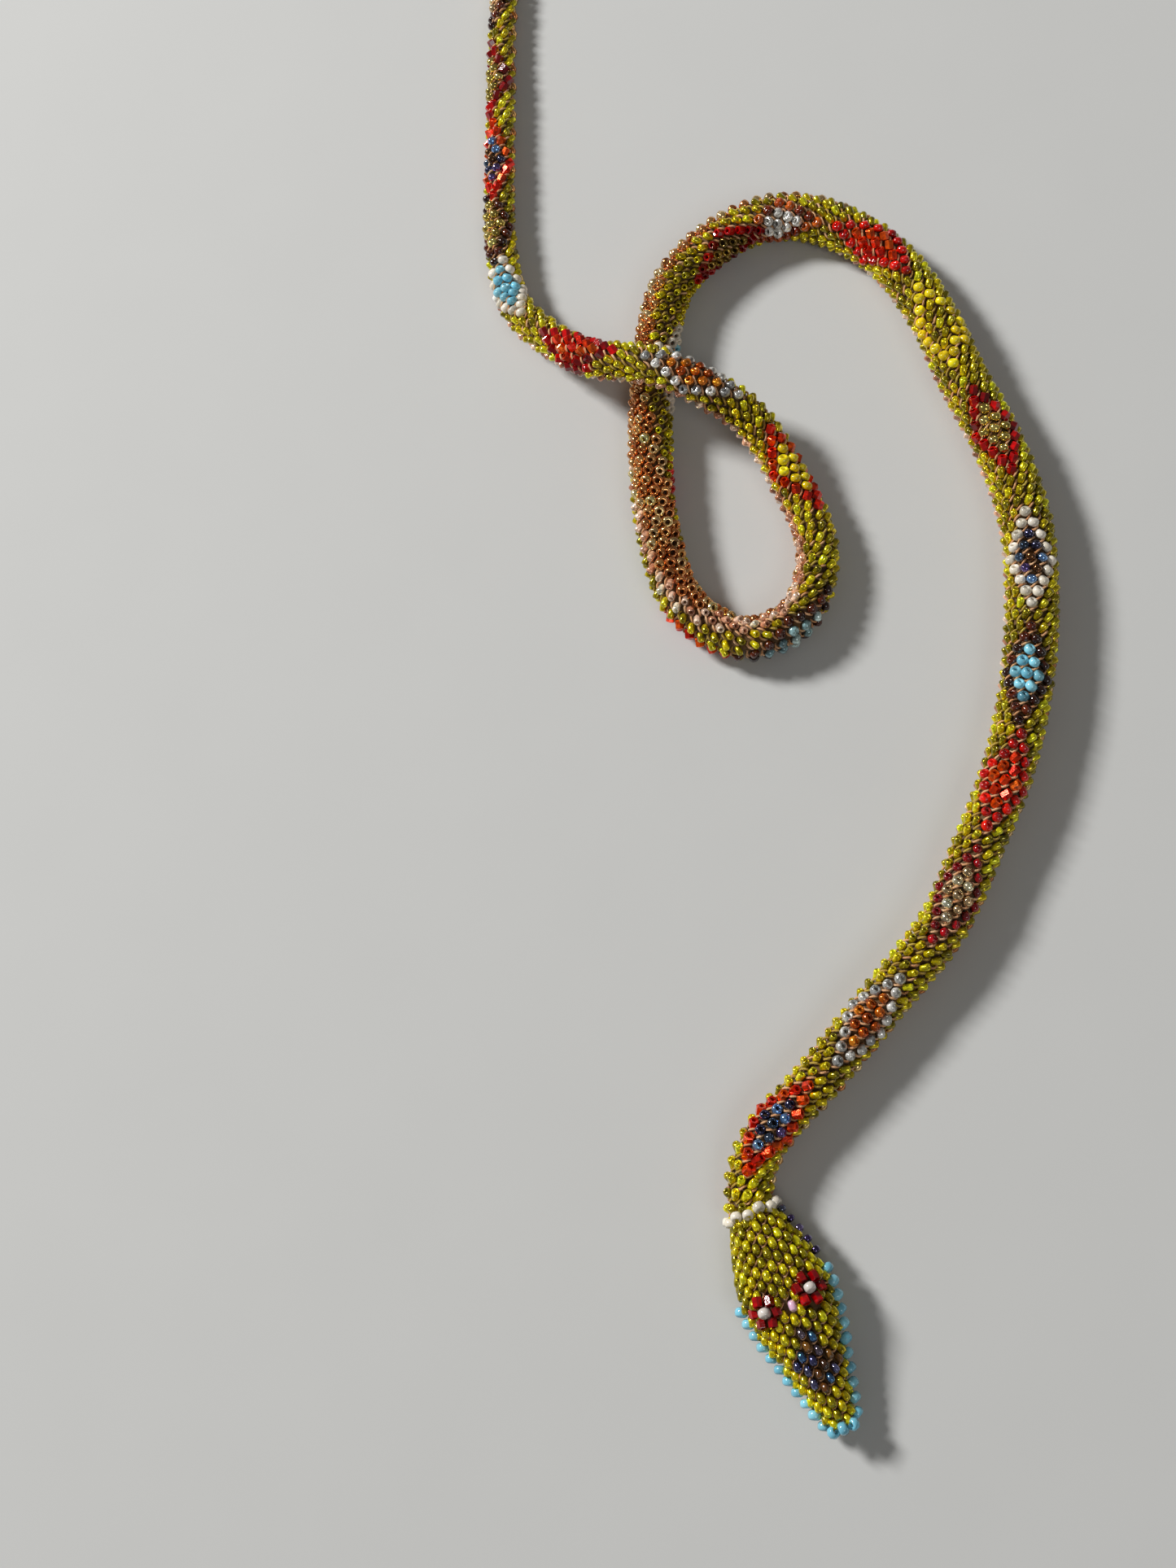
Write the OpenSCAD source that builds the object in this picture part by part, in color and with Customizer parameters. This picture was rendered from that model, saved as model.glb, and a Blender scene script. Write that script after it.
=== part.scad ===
// Bead crochet snake: a long rope of crocheted glass beads over a cotton cord, with a
// stuffed, beaded head. It lies on a table in a loose hook with one loop crossed over itself.
// Millimetres. X and Y lie on the table, Z is up, and the table is at Z = 0.

/* [Rope] */
// Outside diameter of the rope at the neck
neck_d = 9.0; // [7.5:0.1:11]
// Outside diameter of the rope at its thickest, in the fore part
body_d = 10.6; // [9.5:0.1:12]
// Outside diameter of the rope where it crosses over itself
crossing_d = 8.4; // [7:0.1:9.6]
// Outside diameter of the rope at the last row of the tail
tail_end_d = 4.8; // [4.4:0.1:6]
// Thickness of the beadwork, which is one bead
bead_wall = 2.1; // [1.4:0.1:2.4]
// Depth of the flat on which the rope rests
rest_flat = 0.5; // [0.3:0.1:1]
// Clearance between two lengths of rope where the snake bends
joint_gap = 0.3; // [0.2:0.05:0.5]
// Clearance between the cord and the beadwork round it
cord_gap = 0.2; // [0.1:0.05:0.4]

/* [Head] */
// Length of the head from the neck joint to the tip
head_len = 39.5; // [34:0.5:46]
// Width of the head at its widest, lips included
head_w = 17.0; // [14:0.5:21]
// Height of the head above its widest row
head_top_h = 6.6; // [5:0.1:8]
// Depth of the head below its widest row
head_under_h = 5.2; // [4.6:0.1:6]
// Width of the blunt tip
tip_w = 6.4; // [5:0.1:8]
// Height of the blunt tip above its seam
tip_h = 3.0; // [2.4:0.1:4]
// Turn of the head to its left, off the line of the neck
head_turn = 18; // [0:1:20]
// Clearance round the stuffing
stuffing_gap = 0.3; // [0.2:0.05:0.6]

/* [Beads] */
// Diameter of a seed bead
bead_d = 2.1; // [1.8:0.05:2.3]
// Length of a seed bead along its hole
bead_l = 1.5; // [1.2:0.05:1.8]
// Diameter of a bead's hole
bead_hole = 0.8; // [0.6:0.05:1]
// Diameter of a collar pearl
pearl_d = 2.2; // [1.8:0.05:2.6]
// Number of pearls round the collar
pearls = 15; // [12:1:15]
// Clearance under a bead that sits on the beadwork
seat_gap = 0.12; // [0.08:0.02:0.2]
// Number of edging beads along each lip
lip_beads = 11; // [8:1:13]

/* [Marks] */
// Length of one lozenge mark on the back
mark_l = 18; // [12:0.5:19]
// Width of one lozenge mark, measured round the rope
mark_w = 8.0; // [5:0.5:9]
// Height of a mark above the rope
mark_h = 0.7; // [0.4:0.1:1]

/* [Tail end] */
// Diameter of the bead that closes the tail
tip_bead_d = 3.2; // [2.6:0.1:4]
// Diameter of the thread knot behind that bead
knot_d = 1.8; // [1.4:0.1:2.2]

/* [Hidden] */

// The rope's route from inside the head to the tail: place on the table, then the height
// by which the rope is lifted where it crosses over itself
ROUTE = [
    [33.5, -89, 0], [29.5, -79, 0], [32, -68.5, 0], [43, -56.5, 0], [54, -44, 0],
    [65, -31, 0], [72.5, -16, 0], [78.5, -2, 0], [82.5, 13, 0], [84.5, 28, 0],
    [84.5, 45, 0], [80.5, 61.5, 0], [74.5, 76.5, 0], [69.5, 90.5, 0], [62, 103.5, 0],
    [51.5, 112.5, 0], [39.5, 116, 0], [27.5, 112, 0], [18, 102, 0], [14.5, 86, 0],
    [13.5, 68.5, 0], [14.5, 50.5, 0], [19.5, 34, 0], [31, 26, 0], [42, 30.5, 0],
    [45.5, 43.5, 0], [41, 57, 0.4], [34, 69.5, 4], [25, 75.5, 8.4], [15, 80, 10.8],
    [2, 84.5, 8], [-9, 94.5, 3], [-15.5, 104.5, 0], [-18, 117.5, 0], [-18.5, 131, 0],
    [-18.5, 150, 0], [-18.5, 170, 0], [-17.5, 190, 0], [-14, 209.5, 0], [-8, 228.5, 0],
    [2.5, 248, 0], [16, 265, 0], [31, 277, 0]
];
// The route is drawn from the middle of the photographed stretch, and moved by this
route_shift = [-33.72, -81.7];
// Route points at which the snake bends, from the neck to the tail
AT_HEAD = 1;
AT_NECK = 3;
AT_FORE_1 = 6;
AT_FORE_2 = 9;
AT_FORE_3 = 12;
AT_LOOP = 15;
AT_TAIL_1 = 34;
AT_TAIL_2 = 36;
AT_TAIL_3 = 38;
AT_TAIL_4 = 40;
AT_END = 42;
// Route points where one length of the loop's beadwork meets the next
AT_LEFT = 18;
AT_BOTTOM = 21;
AT_RIGHT = 24;
AT_CROSSING = 28;
// Route points between which the thickness changes evenly
THICK_AT = [1, 9, 29, 42];
THICK_D = [neck_d, body_d, crossing_d, tail_end_d];
// Route points between which the back turns over: once round the loop, then a little more
TWIST_AT = [14, 29, 34];
TWIST_TO = [0, 360, 420];

step = 0.02;
sides = 14;
rings_per_span = 3;
bore_rings_per_span = 2;
joint_steps = 3;
cord_sides = 8;
least_bore_r = 0.5;
bore_lip = 0.35;
cup_lift = 0.05;
cord_end_gap = 0.4;
mark_rings = 6;
mark_arc_steps = 4;
mark_seat = 0.3;
mark_floor = 0.1;
mark_end_share = 0.22;

// Places of the marks along the route, and the glass in the middle of each
NECK_MARK = [[2.15, "orangered"]];
FORE_1_MARKS = [[3.8, "darkorange"], [5.3, "gold"]];
FORE_2_MARKS = [[6.8, "orangered"], [8.2, "turquoise"]];
FORE_3_MARKS = [[9.7, "lightskyblue"], [11.2, "darkgoldenrod"]];
FORE_4_MARKS = [[12.8, "yellow"], [14.3, "orangered"]];
LOOP_MARKS = [
    [15.9, "gainsboro"], [17.2, "firebrick"], [18.9, "turquoise"], [26.3, "yellow"],
    [28.2, "darkorange"], [30.2, "orangered"], [32.0, "turquoise"], [33.3, "gold"]
];
TAIL_1_MARKS = [[34.65, "orangered"], [35.4, "gold"]];
TAIL_2_MARKS = [[36.5, "gold"], [37.4, "orangered"]];
TAIL_3_MARKS = [[38.5, "darkorange"], [39.4, "turquoise"]];
TAIL_4_MARKS = [[40.5, "orangered"], [41.3, "yellow"]];

// Widths of the head along its length, as shares of its widest width and of its tip
HEAD_AT = [0, 0.06, 0.16, 0.28, 0.4, 0.54, 0.69, 0.85, 0.94, 1];
HEAD_SWELL = [0, 0.1, 0.45, 0.78, 1, 0.88, 0.57, 0.22, 0.04, -0.12];
head_sides = 16;
neck_seam_z = neck_d / 2 - rest_flat;
tip_seam_z = 2.9;
eye_at = 17.4;
eye_side = 4.6;
brow_at = 19.6;
nose_at = 23.4;
nose_row = 1.95;
NOSE_ROWS = [1, 2, 3, 2, 3, 2];
collar_at = 4.2;
head_back = 3;
least_inside = 0.3;
back_rings = [0, 0.6, 1.3];
widest_share = 0.4;
slope_step = 0.1;
lip_end_gap = 0.6;
brow_share = 0.02;
cheek_from = 6.7;
cheek_to = 13.0;
cheek_beads_n = 5;
lip_left_from = 14.8;
lip_right_from = 16.2;

function unit(v) = v / norm(v);
function between(a, b, t) = a + (b - a) * t;
function limited(x, low, high) = min(max(x, low), high);

// A smooth curve through the route's points
function route_point(i) = ROUTE[limited(i, 0, len(ROUTE) - 1)];
function curve(a, b, c, d, t) =
    b + (c - a) * t / 2
    + (2 * a - 5 * b + 4 * c - d) * t * t / 2
    + (3 * b - a - 3 * c + d) * t * t * t / 2;
function route_xyl(u, i) =
    curve(route_point(i - 1), route_point(i), route_point(i + 1), route_point(i + 2), u - i);
function on_route(u) = route_xyl(u, min(floor(u), len(ROUTE) - 2));

// The value at u of a row of values that changes evenly between its stations
function along(at, values, u, k = 0) =
    u <= at[0] ? values[0]
    : k >= len(at) - 1 ? values[len(values) - 1]
    : u <= at[k + 1] ? between(values[k], values[k + 1], (u - at[k]) / (at[k + 1] - at[k]))
    : along(at, values, u, k + 1);

function rope_r(u) = along(THICK_AT, THICK_D, u) / 2;
function bore_r(u) = max(least_bore_r, rope_r(u) - bead_wall);
function roll(u) = along(TWIST_AT, TWIST_TO, u);
function rope_centre(u) =
    let (p = on_route(u))
    [p[0] + route_shift[0], p[1] + route_shift[1], rope_r(u) - rest_flat + max(0, p[2])];
function rope_dir(u) =
    unit(rope_centre(min(u + step, AT_END)) - rope_centre(max(u - step, 0)));
function rope_pace(u) =
    norm(rope_centre(min(u + step, AT_END)) - rope_centre(u - step)) / (2 * step);
function side_of(dir) = unit(cross([0, 0, 1], dir));
function top_of(dir) = cross(dir, side_of(dir));

// One ring of points round a centre, square to a direction. Its lower half reaches down
// by its own amount, and nothing reaches below the table
function ring(centre, dir, r, n, low) =
    [for (k = [0:n - 1]) let (a = 360 * k / n,
        p = centre + r * cos(a) * side_of(dir) + (sin(a) < 0 ? low : r) * sin(a) * top_of(dir))
        [p[0], p[1], max(p[2], 0)]];

// A solid through rings that have the same number of points. A closed one runs back
// through its own bore; an open one is capped at both ends
module skin(rings, closed = false) {
    n = len(rings[0]);
    count = len(rings);
    points = [for (one = rings) for (p = one) p];
    walls = [for (i = [0:closed ? count - 1 : count - 2]) for (k = [0:n - 1])
        let (a = i * n + k, b = i * n + (k + 1) % n,
             c = (i + 1) % count * n + k, d = (i + 1) % count * n + (k + 1) % n)
        each [[a, b, d], [a, d, c]]];
    caps = closed ? [] : [for (k = [0:n / 2 - 2])
        let (a = k, b = k + 1, c = n - 2 - k, d = n - 1 - k, far = (count - 1) * n)
        each [[a, c, b], [a, d, c], [far + a, far + b, far + c], [far + a, far + c, far + d]]];
    polyhedron(points = points, faces = concat(caps, walls));
}

// The rope bends about upright lines through its joints, so a ball and the cup round it
// are round seen from above, and both stay a little clear of the table
function end_angle(u) = acos(limited((bore_r(u) + bore_lip) / rope_r(u), 0, 0.95));
function cup_low(u) = rope_r(u) - rest_flat - cup_lift;
function ball_low(u) = cup_low(u) - joint_gap;

// A ring of a joint's ball or cup, at an angle from the joint's middle towards the pole
function joint_ring(u, along, r, low, angle) =
    ring(rope_centre(u) + rope_dir(u) * along * r * sin(angle), rope_dir(u),
         r * cos(angle), sides, low * cos(angle));
// Rounded end of a length, from its pole to the joint's middle
function ball_rings(u) =
    [for (i = [joint_steps:-1:0])
        joint_ring(u, -1, rope_r(u), ball_low(u), end_angle(u) * i / joint_steps)];
// Hollow end that takes the next length's ball, from its rim to its floor
function cup_rings(u) =
    let (big = rope_r(u) + joint_gap, rim = acos(rope_r(u) / big))
    [for (i = [0:joint_steps])
        joint_ring(u, -1, big, cup_low(u), between(rim, end_angle(u), i / joint_steps))];
// Rounded end of the tail
function dome_rings(u) =
    [for (i = [0:joint_steps])
        joint_ring(u, 1, rope_r(u), rope_r(u), end_angle(u) * i / joint_steps)];
function path_ring(u) = ring(rope_centre(u), rope_dir(u), rope_r(u), sides, rope_r(u));

// Rings inside one length, from how far before its first route point to how far after
// its last one
function inner_rings(from, to, before, after, gap, n) =
    let (count = round((to - from) * bore_rings_per_span))
    concat(
        [ring(rope_centre(from) - rope_dir(from) * before, rope_dir(from),
              bore_r(from) - gap, n, bore_r(from) - gap)],
        [for (i = [1:count - 1]) let (u = from + i / bore_rings_per_span)
            ring(rope_centre(u), rope_dir(u), bore_r(u) - gap, n, bore_r(u) - gap)],
        [ring(rope_centre(to) + rope_dir(to) * after, rope_dir(to),
              bore_r(to) - gap, n, bore_r(to) - gap)]
    );

// Beadwork of one length of rope between two route points. Its ends are "ball", "cup",
// "dome" or "flat"
module beadwork(from, to, start, finish) {
    count = round((to - from) * rings_per_span);
    outside = concat(
        start == "ball" ? ball_rings(from) : [path_ring(from)],
        [for (i = [1:count - 1]) path_ring(from + i / rings_per_span)],
        finish == "cup" ? cup_rings(to) : finish == "dome" ? dome_rings(to) : [path_ring(to)]
    );
    before = start == "ball" ? rope_r(from) * sin(end_angle(from)) : 0;
    after = finish == "cup" ? -(rope_r(to) + joint_gap) * sin(end_angle(to))
        : finish == "dome" ? rope_r(to) * sin(end_angle(to)) : 0;
    color("yellowgreen") {
        skin(concat(outside, reversed(inner_rings(from, to, before, after, 0, sides))), true);
    }
}

// Cotton cord inside one body of rope
module cord(from, to, last = false) {
    before = rope_r(from) * sin(end_angle(from)) - cord_end_gap;
    after = last ? 0 : -rope_r(to) - joint_gap - cord_end_gap;
    color("wheat") {
        skin(inner_rings(from, to, before, after, cord_gap, cord_sides));
    }
}

// A lozenge of coloured beads on the back, which follows the rope's curve and twist
function mark_ring(u, share) =
    let (c = rope_centre(u), d = rope_dir(u), low = rope_r(u) + mark_seat,
         high = rope_r(u) + mark_h, half = share * mark_w / body_d * 180 / PI,
         turned = 90 - roll(u), middle = turned < -90 ? turned + 360 : turned,
         dip = asin((c[2] - mark_floor) / high), n = mark_arc_steps,
         first = max(middle - half, -dip), last = min(middle + half, 180 + dip))
    concat(
        [for (i = [0:n]) let (a = between(first, last, i / n))
            c + high * (cos(a) * side_of(d) + sin(a) * top_of(d))],
        [for (i = [n:-1:0]) let (a = between(first, last, i / n))
            c + low * (cos(a) * side_of(d) + sin(a) * top_of(d))]
    );
module mark(place) {
    u0 = place[0];
    reach = mark_l * rope_r(u0) / (body_d / 2) / 2 / rope_pace(u0);
    color(place[1]) {
        skin([for (i = [0:mark_rings]) let (t = 2 * i / mark_rings - 1)
            mark_ring(u0 + t * reach, between(1, mark_end_share, abs(t)))]);
    }
}
module marks(places) {
    for (place = places) {
        mark(place);
    }
}

// A bead with its hole along Z
module bead(d = bead_d, l = bead_l) {
    round_r = (d - bead_hole) / 4;
    rotate_extrude($fn = 32) {
        translate([bead_hole / 2, round_r - l / 2]) {
            square([(d - bead_hole) / 2, l - 2 * round_r]);
        }
        for (end = [-1, 1]) {
            translate([bead_hole / 2 + round_r, end * (l / 2 - round_r)]) {
                circle(round_r, $fn = 24);
            }
        }
    }
}

// Places in the head: x runs from the neck joint to the tip, y to the head's left
module in_head() {
    c = rope_centre(AT_HEAD);
    d = rope_dir(AT_HEAD);
    translate([c[0], c[1], 0]) {
        rotate([0, 0, atan2(-d[1], -d[0]) + head_turn]) {
            children();
        }
    }
}
function head_half_w(x) =
    let (s = x / head_len, swell = along(HEAD_AT, HEAD_SWELL, s),
         base = between(neck_d, tip_w, limited(s, 0, 1)))
    (base + (head_w - between(neck_d, tip_w, widest_share)) * swell) / 2;
function head_top(x) =
    let (s = x / head_len, base = between(neck_d / 2, tip_h, limited(s, 0, 1)))
    base + (head_top_h - between(neck_d / 2, tip_h, widest_share)) * along(HEAD_AT, HEAD_SWELL, s);
function head_seam(x) =
    let (s = x / head_len)
    s < widest_share ? between(neck_seam_z, head_under_h - rest_flat, s / widest_share)
    : between(head_under_h - rest_flat, tip_seam_z, (s - widest_share) / (1 - widest_share));
function head_under(x) = head_seam(x) + rest_flat;

function head_half_h(x, sign) = sign > 0 ? head_top(x) : head_under(x);

// Half of an ellipse across the head at x: sign is 1 for the top and -1 for the underside
function half_ellipse(x, sign, w, h, n) =
    [for (i = [0:n]) let (a = 180 * i / n) [x, w * cos(a), head_seam(x) + sign * h * sin(a)]];
function head_arc(x, sign, inset, n) =
    half_ellipse(x, sign, max(least_inside, head_half_w(x) - inset),
                 max(least_inside, head_half_h(x, sign) - inset), n);
// The hollow is closed at the tip, and its mouth has room for the neck's ball
function ball_room(x) = sqrt(max(0, pow(neck_d / 2 + joint_gap, 2) - x * x));
function hollow(x, half) =
    x > head_len - bead_wall ? least_inside : max(least_inside, half - bead_wall, ball_room(x));
function hollow_arc(x, sign, n) =
    half_ellipse(x, sign, hollow(x, head_half_w(x)), hollow(x, head_half_h(x, sign)), n);
function reversed(list) = [for (i = [len(list) - 1:-1:0]) list[i]];
HEAD_RINGS = concat(
    [for (back = back_rings) head_back + back],
    [for (s = HEAD_AT) if (s * head_len > head_back + max(back_rings)) s * head_len]
);
function on_table(points) = [for (p = points) [p[0], p[1], max(p[2], 0)]];
module head_shell(sign) {
    n = head_sides / 2;
    rings = [for (x = HEAD_RINGS)
        concat(on_table(head_arc(x, sign, 0, n)), reversed(hollow_arc(x, sign, n)))];
    skin(sign > 0 ? rings : [for (one = rings) reversed(one)]);
}
module head_top_beadwork() {
    color("yellowgreen") in_head() {
        head_shell(1);
    }
}
module head_under_beadwork() {
    color("olivedrab") in_head() {
        head_shell(-1);
    }
}
module head_stuffing() {
    n = head_sides / 2;
    start = neck_d / 2 + joint_gap + stuffing_gap;
    xs = concat([start], [for (x = HEAD_RINGS) if (x > start && x < head_len - bead_wall) x]);
    color("ivory") in_head() {
        skin([for (x = xs) let (inset = bead_wall + stuffing_gap,
                under = reversed(head_arc(x, -1, inset, n)))
            concat(head_arc(x, 1, inset, n), [for (i = [1:n - 1]) under[i]])]);
    }
}

// Seats a bead on the head's top at x, at a share of the half width from -1 to 1
module on_head(x, share, d = bead_d) {
    a = acos(share);
    w = head_half_w(x);
    h = head_top(x);
    out = unit([0, cos(a) / w, sin(a) / h]);
    at = [x, w * cos(a), head_seam(x) + h * sin(a)];
    translate(at + out * (d / 2 + seat_gap)) {
        rotate([0, 90, 0]) {
            children();
        }
    }
}
// Seats beads along the seam at the head's edge, between two places
module along_edge(from, to, count, hand, d) {
    for (i = [0:count - 1]) {
        x = between(from, to, i / (count - 1));
        slope = (head_half_w(x + slope_step) - head_half_w(x)) / slope_step;
        out = unit([-slope, 1, 0]);
        at = [x, head_half_w(x), 0] + out * (d / 2 + seat_gap);
        translate([at[0], hand * at[1], max(head_seam(x), d / 2)]) {
            rotate([0, 90, hand * atan(slope)]) {
                children();
            }
        }
    }
}
lip_to = head_len - lip_end_gap;
module lip_beads_left() {
    color("mediumturquoise") in_head() {
        along_edge(lip_left_from, lip_to - bead_d, lip_beads, 1, bead_d) {
            bead();
        }
    }
}
module lip_beads_right() {
    color("mediumturquoise") in_head() {
        along_edge(lip_right_from, lip_to - bead_d, lip_beads, -1, bead_d) {
            bead();
        }
        for (y = [-1, 0, 1]) {
            translate([head_len + bead_d / 2 + seat_gap, y * (bead_d + seat_gap), tip_seam_z]) {
                rotate([90, 0, 0]) {
                    bead();
                }
            }
        }
    }
}
module cheek_beads() {
    color("indigo") in_head() {
        along_edge(cheek_from, cheek_to, cheek_beads_n, 1, bead_d) {
            bead();
        }
    }
}
module eye_petals(hand) {
    color("darkred") in_head() {
        for (a = [0:60:300]) {
            x = eye_at + (bead_d + seat_gap) * cos(a);
            y = hand * eye_side + (bead_d + seat_gap) * sin(a);
            on_head(x, y / head_half_w(x)) {
                bead();
            }
        }
    }
}
module eye_centre(hand) {
    color("white") in_head() {
        on_head(eye_at, hand * eye_side / head_half_w(eye_at)) {
            bead();
        }
    }
}
module eye_petals_left() {
    eye_petals(1);
}
module eye_petals_right() {
    eye_petals(-1);
}
module eye_centre_left() {
    eye_centre(1);
}
module eye_centre_right() {
    eye_centre(-1);
}
module brow_beads() {
    color("plum") in_head() {
        on_head(brow_at - bead_l, brow_share) {
            bead();
        }
        on_head(brow_at + bead_l, brow_share) {
            bead();
        }
    }
}
module nose_mark_beads() {
    color("darkslateblue") in_head() {
        for (row = [0:len(NOSE_ROWS) - 1]) {
            x = nose_at + row * nose_row;
            for (k = [0:NOSE_ROWS[row] - 1]) {
                y = (k - (NOSE_ROWS[row] - 1) / 2) * (bead_d + seat_gap);
                on_head(x, y / head_half_w(x)) {
                    bead();
                }
            }
        }
    }
}
module collar_pearls() {
    w = head_half_w(collar_at) + pearl_d / 2 + seat_gap;
    h = head_top(collar_at) + pearl_d / 2 + seat_gap;
    color("ghostwhite") in_head() {
        for (k = [0:pearls - 1]) {
            a = 360 * k / pearls + 90;
            z = head_seam(collar_at) + h * sin(a);
            if (z > pearl_d / 2) {
                translate([collar_at, w * cos(a), z]) {
                    bead(pearl_d, bead_l);
                }
            }
        }
    }
}

module neck_beadwork() { beadwork(AT_HEAD, AT_NECK, "ball", "cup"); }
module neck_cord() { cord(AT_HEAD, AT_NECK); }
module neck_mark() { marks(NECK_MARK); }
module fore_1_beadwork() { beadwork(AT_NECK, AT_FORE_1, "ball", "cup"); }
module fore_1_cord() { cord(AT_NECK, AT_FORE_1); }
module fore_1_marks() { marks(FORE_1_MARKS); }
module fore_2_beadwork() { beadwork(AT_FORE_1, AT_FORE_2, "ball", "cup"); }
module fore_2_cord() { cord(AT_FORE_1, AT_FORE_2); }
module fore_2_marks() { marks(FORE_2_MARKS); }
module fore_3_beadwork() { beadwork(AT_FORE_2, AT_FORE_3, "ball", "cup"); }
module fore_3_cord() { cord(AT_FORE_2, AT_FORE_3); }
module fore_3_marks() { marks(FORE_3_MARKS); }
module fore_4_beadwork() { beadwork(AT_FORE_3, AT_LOOP, "ball", "cup"); }
module fore_4_cord() { cord(AT_FORE_3, AT_LOOP); }
module fore_4_marks() { marks(FORE_4_MARKS); }
module loop_top_beadwork() { beadwork(AT_LOOP, AT_LEFT, "ball", "flat"); }
module loop_left_beadwork() { beadwork(AT_LEFT, AT_BOTTOM, "flat", "flat"); }
module loop_bottom_beadwork() { beadwork(AT_BOTTOM, AT_RIGHT, "flat", "flat"); }
module loop_right_beadwork() { beadwork(AT_RIGHT, AT_CROSSING, "flat", "flat"); }
module crossing_beadwork() { beadwork(AT_CROSSING, AT_TAIL_1, "flat", "cup"); }
module loop_cord() { cord(AT_LOOP, AT_TAIL_1); }
module loop_marks() { marks(LOOP_MARKS); }
module tail_1_beadwork() { beadwork(AT_TAIL_1, AT_TAIL_2, "ball", "cup"); }
module tail_1_cord() { cord(AT_TAIL_1, AT_TAIL_2); }
module tail_1_marks() { marks(TAIL_1_MARKS); }
module tail_2_beadwork() { beadwork(AT_TAIL_2, AT_TAIL_3, "ball", "cup"); }
module tail_2_cord() { cord(AT_TAIL_2, AT_TAIL_3); }
module tail_2_marks() { marks(TAIL_2_MARKS); }
module tail_3_beadwork() { beadwork(AT_TAIL_3, AT_TAIL_4, "ball", "cup"); }
module tail_3_cord() { cord(AT_TAIL_3, AT_TAIL_4); }
module tail_3_marks() { marks(TAIL_3_MARKS); }
module tail_4_beadwork() { beadwork(AT_TAIL_4, AT_END, "ball", "dome"); }
module tail_4_cord() { cord(AT_TAIL_4, AT_END, last = true); }
module tail_4_marks() { marks(TAIL_4_MARKS); }

tip_centre_at = rope_r(AT_END) * sin(end_angle(AT_END)) + tip_bead_d / 2 + seat_gap;
module tail_tip_bead() {
    c = rope_centre(AT_END) + rope_dir(AT_END) * tip_centre_at;
    color("gold") translate([c[0], c[1], tip_bead_d / 2]) {
        sphere(tip_bead_d / 2, $fn = 48);
    }
}
module tail_knot() {
    c = rope_centre(AT_END)
        + rope_dir(AT_END) * (tip_centre_at + (tip_bead_d + knot_d) / 2 + seat_gap);
    color("peachpuff") translate([c[0], c[1], tip_bead_d / 2]) {
        sphere(knot_d / 2, $fn = 32);
    }
}

head_top_beadwork();
head_under_beadwork();
head_stuffing();
lip_beads_left();
lip_beads_right();
cheek_beads();
eye_petals_left();
eye_petals_right();
eye_centre_left();
eye_centre_right();
brow_beads();
nose_mark_beads();
collar_pearls();
neck_beadwork();
neck_cord();
neck_mark();
fore_1_beadwork();
fore_1_cord();
fore_1_marks();
fore_2_beadwork();
fore_2_cord();
fore_2_marks();
fore_3_beadwork();
fore_3_cord();
fore_3_marks();
fore_4_beadwork();
fore_4_cord();
fore_4_marks();
loop_top_beadwork();
loop_left_beadwork();
loop_bottom_beadwork();
loop_right_beadwork();
crossing_beadwork();
loop_cord();
loop_marks();
tail_1_beadwork();
tail_1_cord();
tail_1_marks();
tail_2_beadwork();
tail_2_cord();
tail_2_marks();
tail_3_beadwork();
tail_3_cord();
tail_3_marks();
tail_4_beadwork();
tail_4_cord();
tail_4_marks();
tail_tip_bead();
tail_knot();
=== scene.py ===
# Bead crochet snake: the looks of a long beaded rope with a stuffed head, over its frame.
import math
import bmesh
import bpy
import numpy as np
from mathutils import Matrix


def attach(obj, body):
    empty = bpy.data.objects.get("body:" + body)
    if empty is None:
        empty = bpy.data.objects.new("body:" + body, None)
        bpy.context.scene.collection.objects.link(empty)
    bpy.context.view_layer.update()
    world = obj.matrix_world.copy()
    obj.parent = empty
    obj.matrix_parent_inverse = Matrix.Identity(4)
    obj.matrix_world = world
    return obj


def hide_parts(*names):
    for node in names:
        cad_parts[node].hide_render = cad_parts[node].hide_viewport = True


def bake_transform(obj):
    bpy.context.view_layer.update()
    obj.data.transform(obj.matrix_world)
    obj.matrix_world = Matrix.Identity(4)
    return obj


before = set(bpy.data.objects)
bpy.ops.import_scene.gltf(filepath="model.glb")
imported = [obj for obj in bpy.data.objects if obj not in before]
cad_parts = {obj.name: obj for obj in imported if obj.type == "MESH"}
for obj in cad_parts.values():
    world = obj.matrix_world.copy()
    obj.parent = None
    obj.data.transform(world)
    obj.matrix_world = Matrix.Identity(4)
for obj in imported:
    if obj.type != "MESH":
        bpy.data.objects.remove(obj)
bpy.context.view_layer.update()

bl_info = {
    "name": "Bead crochet snake",
    "version": (1, 0, 0),
    "blender": (4, 5, 0),
    "location": "3D View > Sidebar > Beads",
    "description": "Beads, thread and stuffed head of a crocheted snake",
    "category": "Add Mesh",
}

MM = 0.001

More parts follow.
